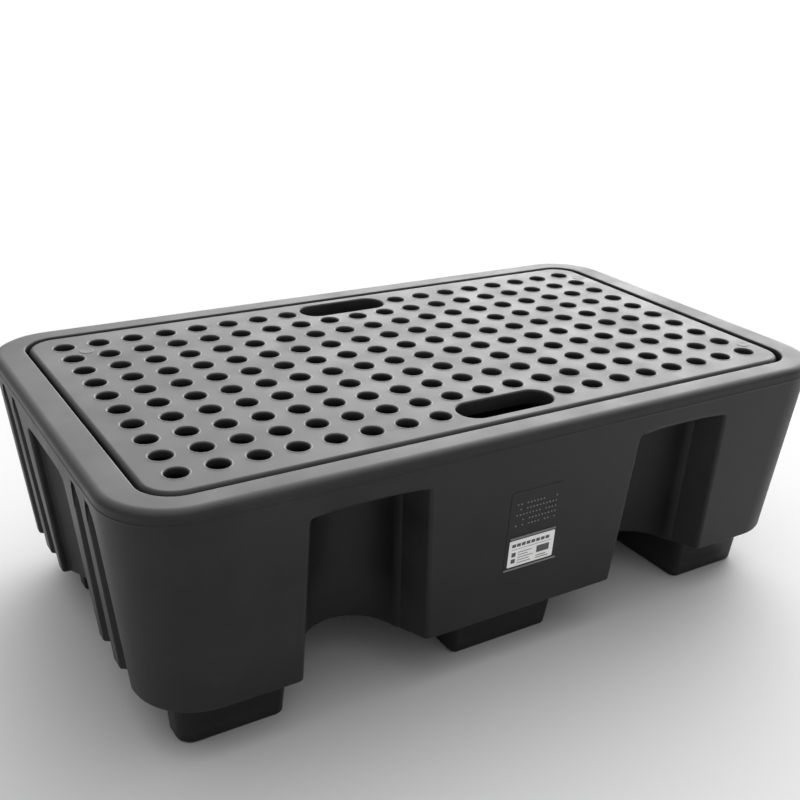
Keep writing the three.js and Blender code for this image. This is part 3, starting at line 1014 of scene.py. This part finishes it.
    def mesh(self) -> bpy.types.Object:
        """The whole tub as one closed mesh.

        Returns:
            The tub: one surface from the underside up the walls, over the rim, down the inside to the
            floor, closed by the feet and their hollows.
        """
        shell = Shell()
        base = self.foot_height
        r = self.base_rounding
        rings = [self.level(base, r), self.level(base + 0.3 * r, 0.3 * r), self.level(base + r)]
        low = self.bay_top - self.closing_reach
        rings += [self.level(between(base + r, low, t / 5)) for t in range(1, 5)]
        closing = self.closing_levels(low)
        rings += closing
        like = closing[-1]

        def outer(z: float, inset: float) -> Ring:
            """The plain wall at height z, drawn in by inset."""
            radius = self.corner_r(z) - inset
            return self.plain(like, self.end_x(z) - inset, self.side_y(z) - inset, radius, z)

        slope = self.seam_slope
        rings += [outer(self.seam_low, 0.0), outer(self.seam_low + slope, -self.seam_proud)]
        rings += [outer(self.seam_high - slope, -self.seam_proud), outer(self.seam_high, 0.0)]
        for i in range(7):
            angle = QUARTER * i / 6
            inset = self.rim_crown * (1 - math.cos(angle))
            z = self.rim_edge + self.rim_rounding * math.sin(angle)
            ring = self.plain(like, self.half_x - inset, self.half_y - inset, self.rim_corner - inset, z)
            rings.append(ring)
        mouth = (self.mouth_x, self.mouth_y, self.mouth_corner)
        for i in range(4):
            angle = QUARTER * i / 3
            back = self.mouth_rounding * (1 - math.sin(angle))
            z = self.height - self.mouth_rounding * (1 - math.cos(angle))
            half_x, half_y, radius = (size + back for size in mouth)
            rings.append(self.plain(like, half_x, half_y, radius, z))
        rings.append(self.plain(like, *mouth, self.shelf))
        under = self.shelf - self.ledge_thickness
        inner_top = self.level(under, self.wall)
        rings += [self.ledge_ring(inner_top, self.shelf), self.ledge_ring(inner_top, under), inner_top]
        fillet = self.floor_fillet
        floor = self.floor
        rings += [self.level(between(under, floor + fillet, t / 4), self.wall) for t in range(1, 5)]
        rings.append(self.level(floor + 0.3 * fillet, self.wall + 0.3 * fillet))
        rings.append(self.level(floor, self.wall + fillet))
        underside, inside = shell.loft(rings)
        joints, mouths = self.feet(shell)
        shell.patch(underside, joints, up=False)
        shell.patch(inside, mouths, up=True)
        return shell.finish("tub_shell")

    def rim_top_highlight(self, g: Graph, place: Socket) -> Socket:
        """Mask of the painted highlight on the rim's top, rising from 0 where the rounding starts to 0.75 at
        the top.
        """
        above = g.math("SUBTRACT", g.split(place)["Z"], self.rim_edge * MM)
        return g.math("MULTIPLY", g.math("DIVIDE", above, self.rim_rounding * MM, clamp=True), 0.75)

    def build(self, finish: Polyethylene) -> bpy.types.Object:
        """Makes, dresses and places the tub."""
        piece = self.mesh()
        even_shading(piece)
        # The rim's top is painted paler as a highlight through this mask.
        settle(piece, "tub", finish.material(self.rim_top_highlight))
        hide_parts("sump_tub")
        return piece


# ------------------------------------------------------------------ deck


@dataclass
class DeckGrating:
    """The lift-out deck: a plate with sleeved drain holes, two hand slots, a skirt and ribs below."""

    pitch: float = 59.6
    columns: int = 9
    rows: int = 5
    hole_radius: float = 16.5
    lip: float = 2.5
    bead: float = 0.9
    lip_foot: float = 2.2
    ring_reach: float = 2.4
    sleeve_wall: float = 3.0
    sleeve_drop: float = 11.0
    sleeve_sides: int = 20
    plate: float = 6.0
    skirt: float = 6.0
    rounding: float = 8.0
    corner: float = 50.0
    slot_half_length: float = 87.0
    slot_half_width: float = 31.0
    slot_inset: float = 54.0
    slot_lip: float = 3.5
    slot_foot: float = 0.8
    collar_wall: float = 5.0
    collar_drop: float = 24.0
    slot_land: float = 8.0
    rib: float = 4.0

    def __post_init__(self) -> None:
        """Takes the overall sizes from the CAD deck."""
        low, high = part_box("deck_grating")
        self.half_x = (high.x - low.x) / 2 / MM
        self.half_y = (high.y - low.y) / 2 / MM
        self.set_back = (high.y + low.y) / 2
        self.place = Matrix.Translation((0, self.set_back, 0))
        self.top = high.z / MM
        self.bottom = low.z / MM
        self.under = self.top - self.plate
        self.slot_y = self.half_y - self.slot_inset
        self.flat_radius = self.hole_radius + self.lip + self.lip_foot

    def outline(self, inset: float, z: float) -> Ring:
        """The deck's edge, drawn in by inset."""
        hx, hy, r = self.half_x - inset, self.half_y - inset, self.corner - inset
        return lift(box_plan(-hx, -hy, hx, hy, [r] * 4, 14), z)

    def slot_ring(self, sign: int, grow: float, z: float) -> Ring:
        """A hand slot's outline.

        Args:
            sign: 1 for the back slot, -1 for the front one.
            grow: How far it is grown all round.
            z: Its height.

        Returns:
            The ring.
        """
        hx, hy = self.slot_half_length + grow, self.slot_half_width + grow
        y = sign * self.slot_y
        ends = [hy * 0.999] * 4  # just short of half circles, so that no edge has zero length
        return lift(box_plan(-hx, y - hy, hx, y + hy, ends, 10), z)

    def hole_field(self, material: bpy.types.Material) -> bpy.types.Mesh:
        """Every drain hole's sleeve, placed on the grid by Geometry Nodes.

        Args:
            material: Finish set by the tree.

        Returns:
            One mesh of all sleeves.
        """
        sleeve = self.sleeve()
        tree = group_tree(
            "drain_holes", "GeometryNodeTree",
            [("Pitch", "NodeSocketFloat", 0.06), ("Columns", "NodeSocketInt", 3),
             ("Rows", "NodeSocketInt", 3), ("Slot Y", "NodeSocketFloat", 0.3),
             ("Reach X", "NodeSocketFloat", 0.1), ("Reach Y", "NodeSocketFloat", 0.05),
             ("Sleeve", "NodeSocketObject", None), ("Finish", "NodeSocketMaterial", None)],
            [("Geometry", "NodeSocketGeometry")],
        )
        g = Graph(tree)
        given = g.add("NodeGroupInput").outputs
        made = g.add("NodeGroupOutput").inputs
        field = g.add("GeometryNodeMeshGrid")
        for axis, count in (("X", "Columns"), ("Y", "Rows")):
            g.join(given[count], field.inputs[f"Vertices {axis}"])
            span = g.math("MULTIPLY", g.math("SUBTRACT", given[count], 1.0), given["Pitch"])
            g.join(span, field.inputs[f"Size {axis}"])
        place = g.split(g.add("GeometryNodeInputPosition").outputs[0])
        beside = g.math("LESS_THAN", g.math("ABSOLUTE", place["X"]), given["Reach X"])
        off = g.math("SUBTRACT", g.math("ABSOLUTE", place["Y"]), given["Slot Y"])
        level = g.math("LESS_THAN", g.math("ABSOLUTE", off), given["Reach Y"])
        clear = g.add("GeometryNodeDeleteGeometry", domain="POINT")
        g.join(field.outputs["Mesh"], clear.inputs["Geometry"])
        g.join(g.math("MULTIPLY", beside, level), clear.inputs["Selection"])
        source = g.add("GeometryNodeObjectInfo")
        g.join(given["Sleeve"], source.inputs["Object"])
        copies = g.scatter(clear.outputs[0], source.outputs["Geometry"], given["Finish"])
        g.join(copies, made["Geometry"])
        reach_x, reach_y = self.slot_reach()
        values = {
            "Pitch": self.pitch * MM, "Columns": 2 * self.columns + 1, "Rows": 2 * self.rows,
            "Slot Y": self.slot_y * MM, "Reach X": reach_x * MM, "Reach Y": reach_y * MM,
            "Sleeve": sleeve, "Finish": material,
        }
        mesh = run_tree(tree, values, "drain_sleeves")
        bpy.data.objects.remove(sleeve)
        return mesh

    def sleeve(self) -> bpy.types.Object:
        """One hole's lip and tube, at its place's origin and at the deck's height."""
        r, lip, top = self.hole_radius, self.lip, self.top
        bead = top + self.bead
        deep = top - self.sleeve_drop
        profile = [
            (self.flat_radius, top), (r + lip + 0.9, bead - 0.2), (r + lip, bead),
            (r + 0.3 * lip, top - 0.2 * lip), (r, top - lip), (r - 0.3, deep),
            (r + self.sleeve_wall, deep), (r + self.sleeve_wall, self.under),
        ]
        shell = Shell()
        shell.loft([lift(circle_plan(0, 0, radius, self.sleeve_sides), z) for radius, z in profile])
        return shell.finish("sleeve")

    def slot_reach(self) -> tuple[float, float]:
        """How near a hole's centre may come to a hand slot's middle, along X and Y."""
        around = self.hole_radius + self.slot_land
        return self.slot_half_length + around, self.slot_half_width + around

    def hole_centres(self) -> list[tuple[float, float]]:
        """Centres of the drain holes that are kept."""
        reach_x, reach_y = self.slot_reach()
        centres = []
        for j in range(2 * self.rows):
            for i in range(-self.columns, self.columns + 1):
                x, y = i * self.pitch, (j - self.rows + 0.5) * self.pitch
                if abs(x) >= reach_x or abs(abs(y) - self.slot_y) >= reach_y:
                    centres.append((x, y))
        return centres

    def mesh(self, material: bpy.types.Material) -> bpy.types.Object:
        """The deck without its ribs as one mesh.

        Args:
            material: Finish of the sleeves.

        Returns:
            The deck: rounded edge and skirt, plate with its holes, slots with collars, and sleeves.
        """
        shell = Shell()
        r = self.rounding
        edge = [self.outline(0, self.bottom), self.outline(0, self.top - r)]
        for i in range(1, 6):
            angle = QUARTER * i / 5
            edge.append(self.outline(r * (1 - math.cos(angle)), self.top - r + r * math.sin(angle)))
        foot, rim = shell.loft(edge)
        within = [self.outline(self.skirt, self.under), self.outline(self.skirt, self.bottom)]
        ceiling, inner_foot = shell.loft(within)
        shell.strip(inner_foot, foot)

        centres = self.hole_centres()
        sides = self.sleeve_sides
        tops = [shell.ring(lift(circle_plan(x, y, self.flat_radius, sides), self.top)) for x, y in centres]
        lows = [
            shell.ring(lift(circle_plan(x, y, self.hole_radius + self.sleeve_wall, sides), self.under))
            for x, y in centres
        ]
        for sign in (-1, 1):
            lip = self.slot_lip
            rings = [self.slot_ring(sign, lip + self.slot_foot, self.top)]
            for i in range(5):
                angle = QUARTER * i / 4
                out = lip * (1 - math.sin(angle))
                rings.append(self.slot_ring(sign, out, self.top - lip * (1 - math.cos(angle))))
            deep = self.top - self.collar_drop
            rings += [self.slot_ring(sign, 0, deep), self.slot_ring(sign, self.collar_wall, deep)]
            rings.append(self.slot_ring(sign, self.collar_wall, self.under))
            top, low = shell.loft(rings)
            tops.append(top)
            lows.append(low)
        shell.patch(rim, tops, up=True)
        shell.patch(ceiling, lows, up=False)
        shell.absorb(self.hole_field(material))
        return shell.finish("deck_plate")

    def rib_mesh(self) -> bpy.types.Object:
        """Stiffening ribs under the plate, on every second line between the holes.

        Returns:
            The ribs as one mesh of bars that run a little way into the plate and skirt.
        """
        shell = Shell()
        sink = 1.0
        reach_x = self.half_x - self.skirt + sink
        reach_y = self.half_y - self.skirt + sink
        top = self.under + sink
        half = self.rib / 2
        slot_low = self.slot_y - self.slot_half_width - self.collar_wall
        for line in range(1 - self.rows, self.rows, 2):
            y = line * self.pitch
            spans = [(-reach_x, reach_x)]
            if abs(y) + half > slot_low:
                gap = self.slot_half_length + self.collar_wall / 2
                spans = [(-reach_x, -gap), (gap, reach_x)]
            for x0, x1 in spans:
                shell.box(Vector((x0, y - half, self.bottom)) * MM, Vector((x1, y + half, top)) * MM)
        for step in range(1 - self.columns, self.columns, 2):
            # Half a pitch nearer the middle than the column, so between two columns
            x = (step + 0.5 * math.copysign(1, -step if step else 1)) * self.pitch
            if abs(x) < self.slot_half_length:
                continue
            shell.box(Vector((x - half, -reach_y, self.bottom)) * MM, Vector((x + half, reach_y, top)) * MM)
        return shell.finish("deck_ribs", outward=True)

    def painted_highlight(self, g: Graph, place: Socket) -> Socket:
        """Mask of the painted highlight ring round each hole's lip, on the deck's top.

        Args:
            g: Graph of the deck's material.
            place: Object position.

        Returns:
            A socket from 0 to 1.
        """
        spot = g.split(place)
        pitch = self.pitch * MM

        def offset(value: Socket, shift: float) -> Socket:
            """Distance from the nearest line of holes, with the lines moved by a share of the pitch."""
            turns = g.math("ADD", g.math("DIVIDE", value, pitch), shift)
            return g.math("MULTIPLY", g.math("SUBTRACT", g.math("FRACT", turns), 0.5), pitch)

        from_middle = g.math("SUBTRACT", spot["Y"], self.set_back)
        dx = offset(spot["X"], 100.5)
        dy = offset(from_middle, 100.0)
        squared = g.math("ADD", g.math("MULTIPLY", dx, dx), g.math("MULTIPLY", dy, dy))
        distance = g.math("SQRT", squared)
        ring = (self.hole_radius + self.lip) * MM
        away = g.math("ABSOLUTE", g.math("SUBTRACT", distance, ring))
        near = g.math("SUBTRACT", 1.0, g.math("DIVIDE", away, self.ring_reach * MM), clamp=True)
        high = g.math("GREATER_THAN", spot["Z"], (self.top - self.lip) * MM)
        along = g.math("ABSOLUTE", spot["X"])
        across = g.math("ABSOLUTE", from_middle)
        in_columns = g.math("LESS_THAN", along, (self.columns + 0.5) * pitch)
        in_rows = g.math("LESS_THAN", across, self.rows * pitch)
        reach_x, reach_y = self.slot_reach()
        from_slot = g.math("ABSOLUTE", g.math("SUBTRACT", across, self.slot_y * MM))
        slot_rows = g.math("LESS_THAN", from_slot, (reach_y - self.hole_radius) * MM)
        slot_columns = g.math("LESS_THAN", along, (reach_x - self.hole_radius) * MM)
        by_slot = g.math("MULTIPLY", slot_rows, slot_columns)
        within = g.math("MULTIPLY", g.math("MULTIPLY", in_columns, in_rows), g.math("SUBTRACT", 1.0, by_slot))
        return g.math("MULTIPLY", g.math("MULTIPLY", near, high), within)

    def build(self, finish: Polyethylene) -> None:
        """Makes, dresses and places the deck and its ribs."""
        # Each hole's lip is painted paler as a highlight ring.
        material = finish.material(self.painted_highlight)
        plate = self.mesh(material)
        plate.data.transform(self.place)
        even_shading(plate)
        settle(plate, "deck", material)
        ribs = self.rib_mesh()
        ribs.data.transform(self.place)
        settle(ribs, "deck", material)
        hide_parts("deck_grating")


def run_tree(tree: bpy.types.NodeTree, values: dict[str, object], name: str) -> bpy.types.Mesh:
    """Runs a geometry tree on an empty object and keeps its result.

    Args:
        tree: The tree.
        values: Value of each named input.
        name: Name of the mesh.

    Returns:
        A plain mesh.
    """
    holder = bpy.data.objects.new(name, bpy.data.meshes.new(name))
    bpy.context.scene.collection.objects.link(holder)
    modifier = holder.modifiers.new(name, "NODES")
    modifier.node_group = tree
    for item in tree.interface.items_tree:
        if item.item_type == "SOCKET" and item.in_out == "INPUT" and item.name in values:
            modifier[item.identifier] = values[item.name]
    graph = bpy.context.evaluated_depsgraph_get()
    mesh = bpy.data.meshes.new_from_object(holder.evaluated_get(graph))
    holder.modifiers.clear()
    bpy.data.objects.remove(holder)
    return mesh


@dataclass
class DeckPlug:
    """A press-in plug: dished head with a rounded rim, and its stem."""

    node: str
    stem_radius: float = 9.0
    head: float = 1.5
    rim: float = 0.5
    dish: float = 0.4
    proud: float = 0.6
    land: float = 3.0
    slope: float = 1.0
    pip_foot: float = 2.5
    pip_tip: float = 1.8
    pip_drop: float = 0.55
    sides: int = 40

    def build(self, material: bpy.types.Material) -> None:
        """Makes, dresses and places the plug.

        Args:
            material: Finish that all plugs share.
        """
        low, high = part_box(self.node)
        centre = (low + high) / 2 / MM
        top = high.z / MM + self.proud
        radius = (high.x - low.x) / 2 / MM
        stem, rim = self.stem_radius, self.rim
        profile = [
            (stem - 1, low.z / MM), (stem, low.z / MM + 1), (stem, top - self.head),
            (radius, top - self.head), (radius, top - rim),
            (radius - 0.3 * rim, top - 0.3 * rim), (radius - rim, top),
            (radius - self.land, top), (radius - self.land - self.slope, top - self.dish),
            (self.pip_foot, top - self.dish), (self.pip_tip, top - self.pip_drop),
        ]
        shell = Shell()
        rings = [lift(circle_plan(centre.x, centre.y, r, self.sides), z) for r, z in profile]
        foot, tip = shell.loft(rings)
        shell.patch(foot, up=False)
        shell.patch(tip, up=True)
        piece = shell.finish(self.node.replace("deck_plug", "plug"))
        even_shading(piece)
        settle(piece, "deck", material)
        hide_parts(self.node)


# ------------------------------------------------------------------ label and marks


@dataclass
class LabelPanel:
    """The raised panel on the front with its label, two ledges and rows of moulded pips."""

    tub: SumpTub
    panel_half: float = 51.0
    panel_low: float = 164.0
    panel_high: float = 309.0
    panel_proud: float = 0.6
    ledge_height: float = 3.0
    ledge_proud: float = 2.5
    ledge_gap: float = 4.0
    pip_radius: float = 1.45
    pip_pitch: float = 5.4
    pip_rows: int = 5
    pip_row_pitch: float = 9.5
    pip_margin: float = 14.0
    pips_left_out: float = 0.24
    pip_seed: int = 4
    film: float = 0.5
    ink: float = 0.04
    sunk: float = -1.0

    def __post_init__(self) -> None:
        """Takes the label's place from its CAD node."""
        low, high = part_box("rating_label")
        self.label_half = high.x / MM
        self.label_low = low.z / MM
        self.label_high = high.z / MM

    def slab(self, name: str, x: tuple[float, float], z: tuple[float, float], proud: tuple[float, float],
             corner: float, rounding: float) -> bpy.types.Object:
        """A rounded slab on the leaning front face.

        Args:
            name: The piece's name.
            x: Its limits along the face.
            z: Its limits in height.
            proud: Its back and front, measured out of the face.
            corner: Corner radius.
            rounding: Radius of its front edge.

        Returns:
            The slab.
        """
        shell = Shell()
        back, front = proud
        bevel = 0.3 * rounding
        levels = [(0.0, back), (0.0, front - rounding), (bevel, front - bevel), (rounding, front)]
        rings = []
        for inset, out in levels:
            r = max(corner - inset, 0.2)
            plan = box_plan(x[0] + inset, z[0] + inset, x[1] - inset, z[1] - inset, [r] * 4)
            rings.append([Vector((u, -self.tub.side_y(v) - out, v)) * MM for u, v in plan])
        base, face = shell.loft(rings)
        shell.bm.faces.new(face)
        shell.bm.faces.new(base[::-1])
        piece = shell.finish(name, outward=True)
        even_shading(piece)
        return piece

    def pips(self, material: bpy.types.Material) -> bpy.types.Object:
        """Rows of small moulded pips above the label, placed by Geometry Nodes.

        Args:
            material: Finish set by the tree.

        Returns:
            The pips as one piece on the panel.
        """
        tree = group_tree(
            "pip_rows", "GeometryNodeTree",
            [("Width", "NodeSocketFloat", 0.08), ("Height", "NodeSocketFloat", 0.04),
             ("Columns", "NodeSocketInt", 10), ("Rows", "NodeSocketInt", 5),
             ("Radius", "NodeSocketFloat", 0.001), ("Share Left Out", "NodeSocketFloat", 0.2),
             ("Seed", "NodeSocketInt", 4), ("Finish", "NodeSocketMaterial", None)],
            [("Geometry", "NodeSocketGeometry")],
        )
        g = Graph(tree)
        given = g.add("NodeGroupInput").outputs
        made = g.add("NodeGroupOutput").inputs
        field = g.add("GeometryNodeMeshGrid")
        sources = {"Size X": "Width", "Size Y": "Height", "Vertices X": "Columns", "Vertices Y": "Rows"}
        for target, source in sources.items():
            g.join(given[source], field.inputs[target])
        chance = g.add("FunctionNodeRandomValue", data_type="FLOAT")
        g.join(given["Seed"], chance.inputs["Seed"])
        clear = g.add("GeometryNodeDeleteGeometry", domain="POINT")
        g.join(field.outputs["Mesh"], clear.inputs["Geometry"])
        picked = g.math("LESS_THAN", chance.outputs[1], given["Share Left Out"])
        g.join(picked, clear.inputs["Selection"])
        dome = g.add("GeometryNodeMeshIcoSphere")
        dome.inputs["Subdivisions"].default_value = 2
        g.join(given["Radius"], dome.inputs["Radius"])
        g.join(g.scatter(clear.outputs[0], dome.outputs["Mesh"], given["Finish"]), made["Geometry"])
        width = 2 * (self.panel_half - self.pip_margin)
        height = (self.pip_rows - 1) * self.pip_row_pitch
        values = {
            "Width": width * MM, "Height": height * MM, "Columns": int(width / self.pip_pitch),
            "Rows": self.pip_rows, "Radius": self.pip_radius * MM,
            "Share Left Out": self.pips_left_out, "Seed": self.pip_seed, "Finish": material,
        }
        mesh = run_tree(tree, values, "moulded_pips")
        middle = (self.label_high + self.ledge_gap + self.panel_high) / 2
        lean = math.atan(self.tub.side_lean / (self.tub.rim_edge - self.tub.foot_height))
        face = -self.tub.side_y(middle) - self.panel_proud
        turn = Matrix.Translation(Vector((0, face, middle)) * MM) @ Matrix.Rotation(QUARTER + lean, 4, "X")
        mesh.transform(turn)
        mesh.shade_smooth()
        piece = bpy.data.objects.new("moulded_pips", mesh)
        bpy.context.scene.collection.objects.link(piece)
        return piece

    def print_bars(self) -> bpy.types.Object:
        """Generic printed bars and blocks on the label, with no lettering.

        Returns:
            The print as one thin piece on the film.
        """
        shell = Shell()
        low, high, half = self.label_low, self.label_high, self.label_half
        width, tall = 2 * half, high - low
        # Left, right, low and high edge of each shape, as shares of the label
        shapes = [(0.06 + 0.105 * i, 0.145 + 0.105 * i, 0.74, 0.86) for i in range(8)]
        shapes += [(0.06, 0.94, 0.645, 0.66)]
        shapes += [(0.07, 0.16, 0.38, 0.54), (0.07, 0.16, 0.14, 0.3)]
        for i, length in enumerate((0.3, 0.22, 0.34, 0.26, 0.3)):
            shapes.append((0.21, 0.21 + length, 0.5 - 0.1 * i, 0.525 - 0.1 * i))
        shapes += [(0.62, 0.9, 0.3, 0.56), (0.62, 0.84, 0.17, 0.2), (0.62, 0.9, 0.09, 0.12)]
        out = self.panel_proud + self.film + self.ink
        for x0, x1, z0, z1 in shapes:
            corners = [(x0, z0), (x1, z0), (x1, z1), (x0, z1)]
            ring = []
            for u, v in corners:
                z = low + tall * v
                ring.append(Vector((-half + width * u, -self.tub.side_y(z) - out, z)) * MM)
            shell.bm.faces.new(shell.ring(ring))
        bmesh.ops.solidify(shell.bm, geom=shell.bm.faces[:], thickness=self.ink * MM)
        return shell.finish("label_print", outward=True)

    def build(self, plastic: Polyethylene, painted_highlight_plastic: Polyethylene) -> None:
        """Makes, dresses and places the panel's pieces.

        Args:
            plastic: Finish of the panel.
            painted_highlight_plastic: Finish of what stands out, painted pale as a highlight.
        """
        skin = plastic.material()
        # The ledges and pips are painted pale as a highlight.
        painted_highlight = painted_highlight_plastic.material()
        half, high, low = self.panel_half, self.panel_high, self.panel_low
        panel = self.slab("label_panel", (-half, half), (low, high), (self.sunk, self.panel_proud), 4.0, 0.5)
        settle(panel, "tub", skin)
        upper = self.label_high + self.ledge_gap
        under = self.label_low - self.ledge_gap
        for name, middle, reach in (("upper_ledge", upper, self.label_half), ("lower_ledge", under, half)):
            span = (middle - self.ledge_height / 2, middle + self.ledge_height / 2)
            bar = self.slab(name, (-reach, reach), span, (self.sunk, self.ledge_proud), 1.2, 1.0)
            settle(bar, "tub", painted_highlight)
        settle(self.pips(painted_highlight), "tub", painted_highlight)
        film = self.slab(
            "label_film", (-self.label_half, self.label_half), (self.label_low, self.label_high),
            (self.panel_proud - 0.2, self.panel_proud + self.film), 2.0, 0.2,
        )
        settle(film, "tub", PlainFinish("white_film", Tone.FILM, 0.38).material())
        settle(self.print_bars(), "tub", PlainFinish("label_ink", Tone.INK, 0.5).material())
        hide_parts("rating_label")


# ------------------------------------------------------------------ studio


@dataclass
class Studio:
    """Camera, floor and a dome of soft light."""

    camera_place: tuple[float, float, float] = (-1.0051, -1.5798, 1.088)
    focal_length: float = 50.976
    shift: tuple[float, float] = (-0.0375, -0.125)
    sensor: float = 36.0
    floor_reach: float = 120.0
    dome_light: float = 0.55
    overhead: float = 1.3
    glow: float = 7.4
    glow_towards: tuple[float, float, float] = (0.68, 0.68, 0.31)
    shade: float = -0.42
    shade_towards: tuple[float, float, float] = (-1.0, 0.15, 0.1)
    glow_tightness: float = 6.0

    def camera(self) -> None:
        """Places the camera by the directions of its right, down and forward."""
        right = Vector((0.84396, -0.53477, 0.04207))
        down = Vector((-0.12589, -0.2737, -0.95354))
        forward = Vector((0.52143, 0.79945, -0.2983))
        lens = bpy.data.cameras.new("camera")
        lens.sensor_width = self.sensor
        lens.lens = self.focal_length
        lens.shift_x, lens.shift_y = self.shift
        lens.clip_end = 2.5 * self.floor_reach
        turn = Matrix((right, -down, -forward)).transposed().to_4x4()
        camera = bpy.data.objects.new("camera", lens)
        camera.matrix_world = Matrix.Translation(self.camera_place) @ turn
        bpy.context.scene.collection.objects.link(camera)
        bpy.context.scene.camera = camera

    def floor(self) -> None:
        """A pale floor under the feet."""
        shell = Shell()
        reach = self.floor_reach
        corners = ((-reach, -reach), (reach, -reach), (reach, reach), (-reach, reach))
        shell.bm.faces.new(shell.ring([Vector((x, y, -0.0005)) for x, y in corners]))
        floor = shell.finish("floor")
        floor.data.materials.append(PlainFinish("pale_floor", Tone.FLOOR, 0.85, 0.0).material())

    def lobe(self, g: Graph, direction: Socket, towards: Sequence[float], power: float) -> Socket:
        """Soft glow or shade of the dome about one direction.

        Args:
            g: Graph of the world.
            direction: Direction looked in.
            towards: Where the glow is strongest.
            power: Its strength there, below 0 for a shade.

        Returns:
            The strength's socket.
        """
        aim = g.add("ShaderNodeVectorMath", operation="DOT_PRODUCT")
        g.join(direction, aim.inputs[0])
        aim.inputs[1].default_value = Vector(towards).normalized()
        facing = g.math("MAXIMUM", aim.outputs["Value"], 0.0)
        return g.math("MULTIPLY", g.math("POWER", facing, self.glow_tightness), power)

    def dome(self) -> None:
        """A white dome of light, brightest low behind the pallet and dimmer at its left end."""
        world = bpy.data.worlds.new("studio")
        world.use_nodes = True
        world.node_tree.nodes.clear()
        g = Graph(world.node_tree)
        direction = g.add("ShaderNodeTexCoord").outputs["Generated"]
        lobes = [(self.glow_towards, self.glow), ((0.0, 0.0, 1.0), self.overhead)]
        lobes.append((self.shade_towards, self.shade))
        strength = self.dome_light
        for towards, power in lobes:
            strength = g.math("ADD", self.lobe(g, direction, towards, power), strength)
        strength = g.math("MAXIMUM", strength, 0.0)
        light = g.add("ShaderNodeBackground")
        g.join(strength, light.inputs["Strength"])
        g.join(light.outputs[0], g.add("ShaderNodeOutputWorld").inputs["Surface"])
        bpy.context.scene.world = world

    def build(self) -> None:
        """Sets up the whole studio."""
        self.camera()
        self.floor()
        self.dome()
        view = bpy.context.scene.view_settings
        view.view_transform = "Standard"


# ------------------------------------------------------------------ whole pallet


def main() -> None:
    """Builds the studio and every sub-assembly."""
    logging.basicConfig(level=logging.INFO, format="%(name)s %(message)s")
    Studio().build()
    tub_finish = Polyethylene("black_tub", Tone.TUB, Tone.TUB_WORN_AND_HIGHLIGHT, 0.5)
    tub = SumpTub()
    tub.build(tub_finish)
    # The label's ledges and pips get a pale finish that paints a highlight.
    LabelPanel(tub).build(tub_finish, Polyethylene("painted_highlight_tub", Tone.RAISED_HIGHLIGHT, Tone.RAISED_HIGHLIGHT_PALER, 0.45))
    DeckGrating().build(Polyethylene("black_deck", Tone.DECK, Tone.DECK_WORN_AND_HIGHLIGHT, 0.46, 0.8, 12.0))
    plug_finish = Polyethylene("grey_plug", Tone.PLUG, Tone.DECK_WORN_AND_HIGHLIGHT, 0.55).material()
    for node in sorted(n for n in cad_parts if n.startswith("deck_plug")):
        DeckPlug(node).build(plug_finish)


if __name__ == "__main__":
    main()
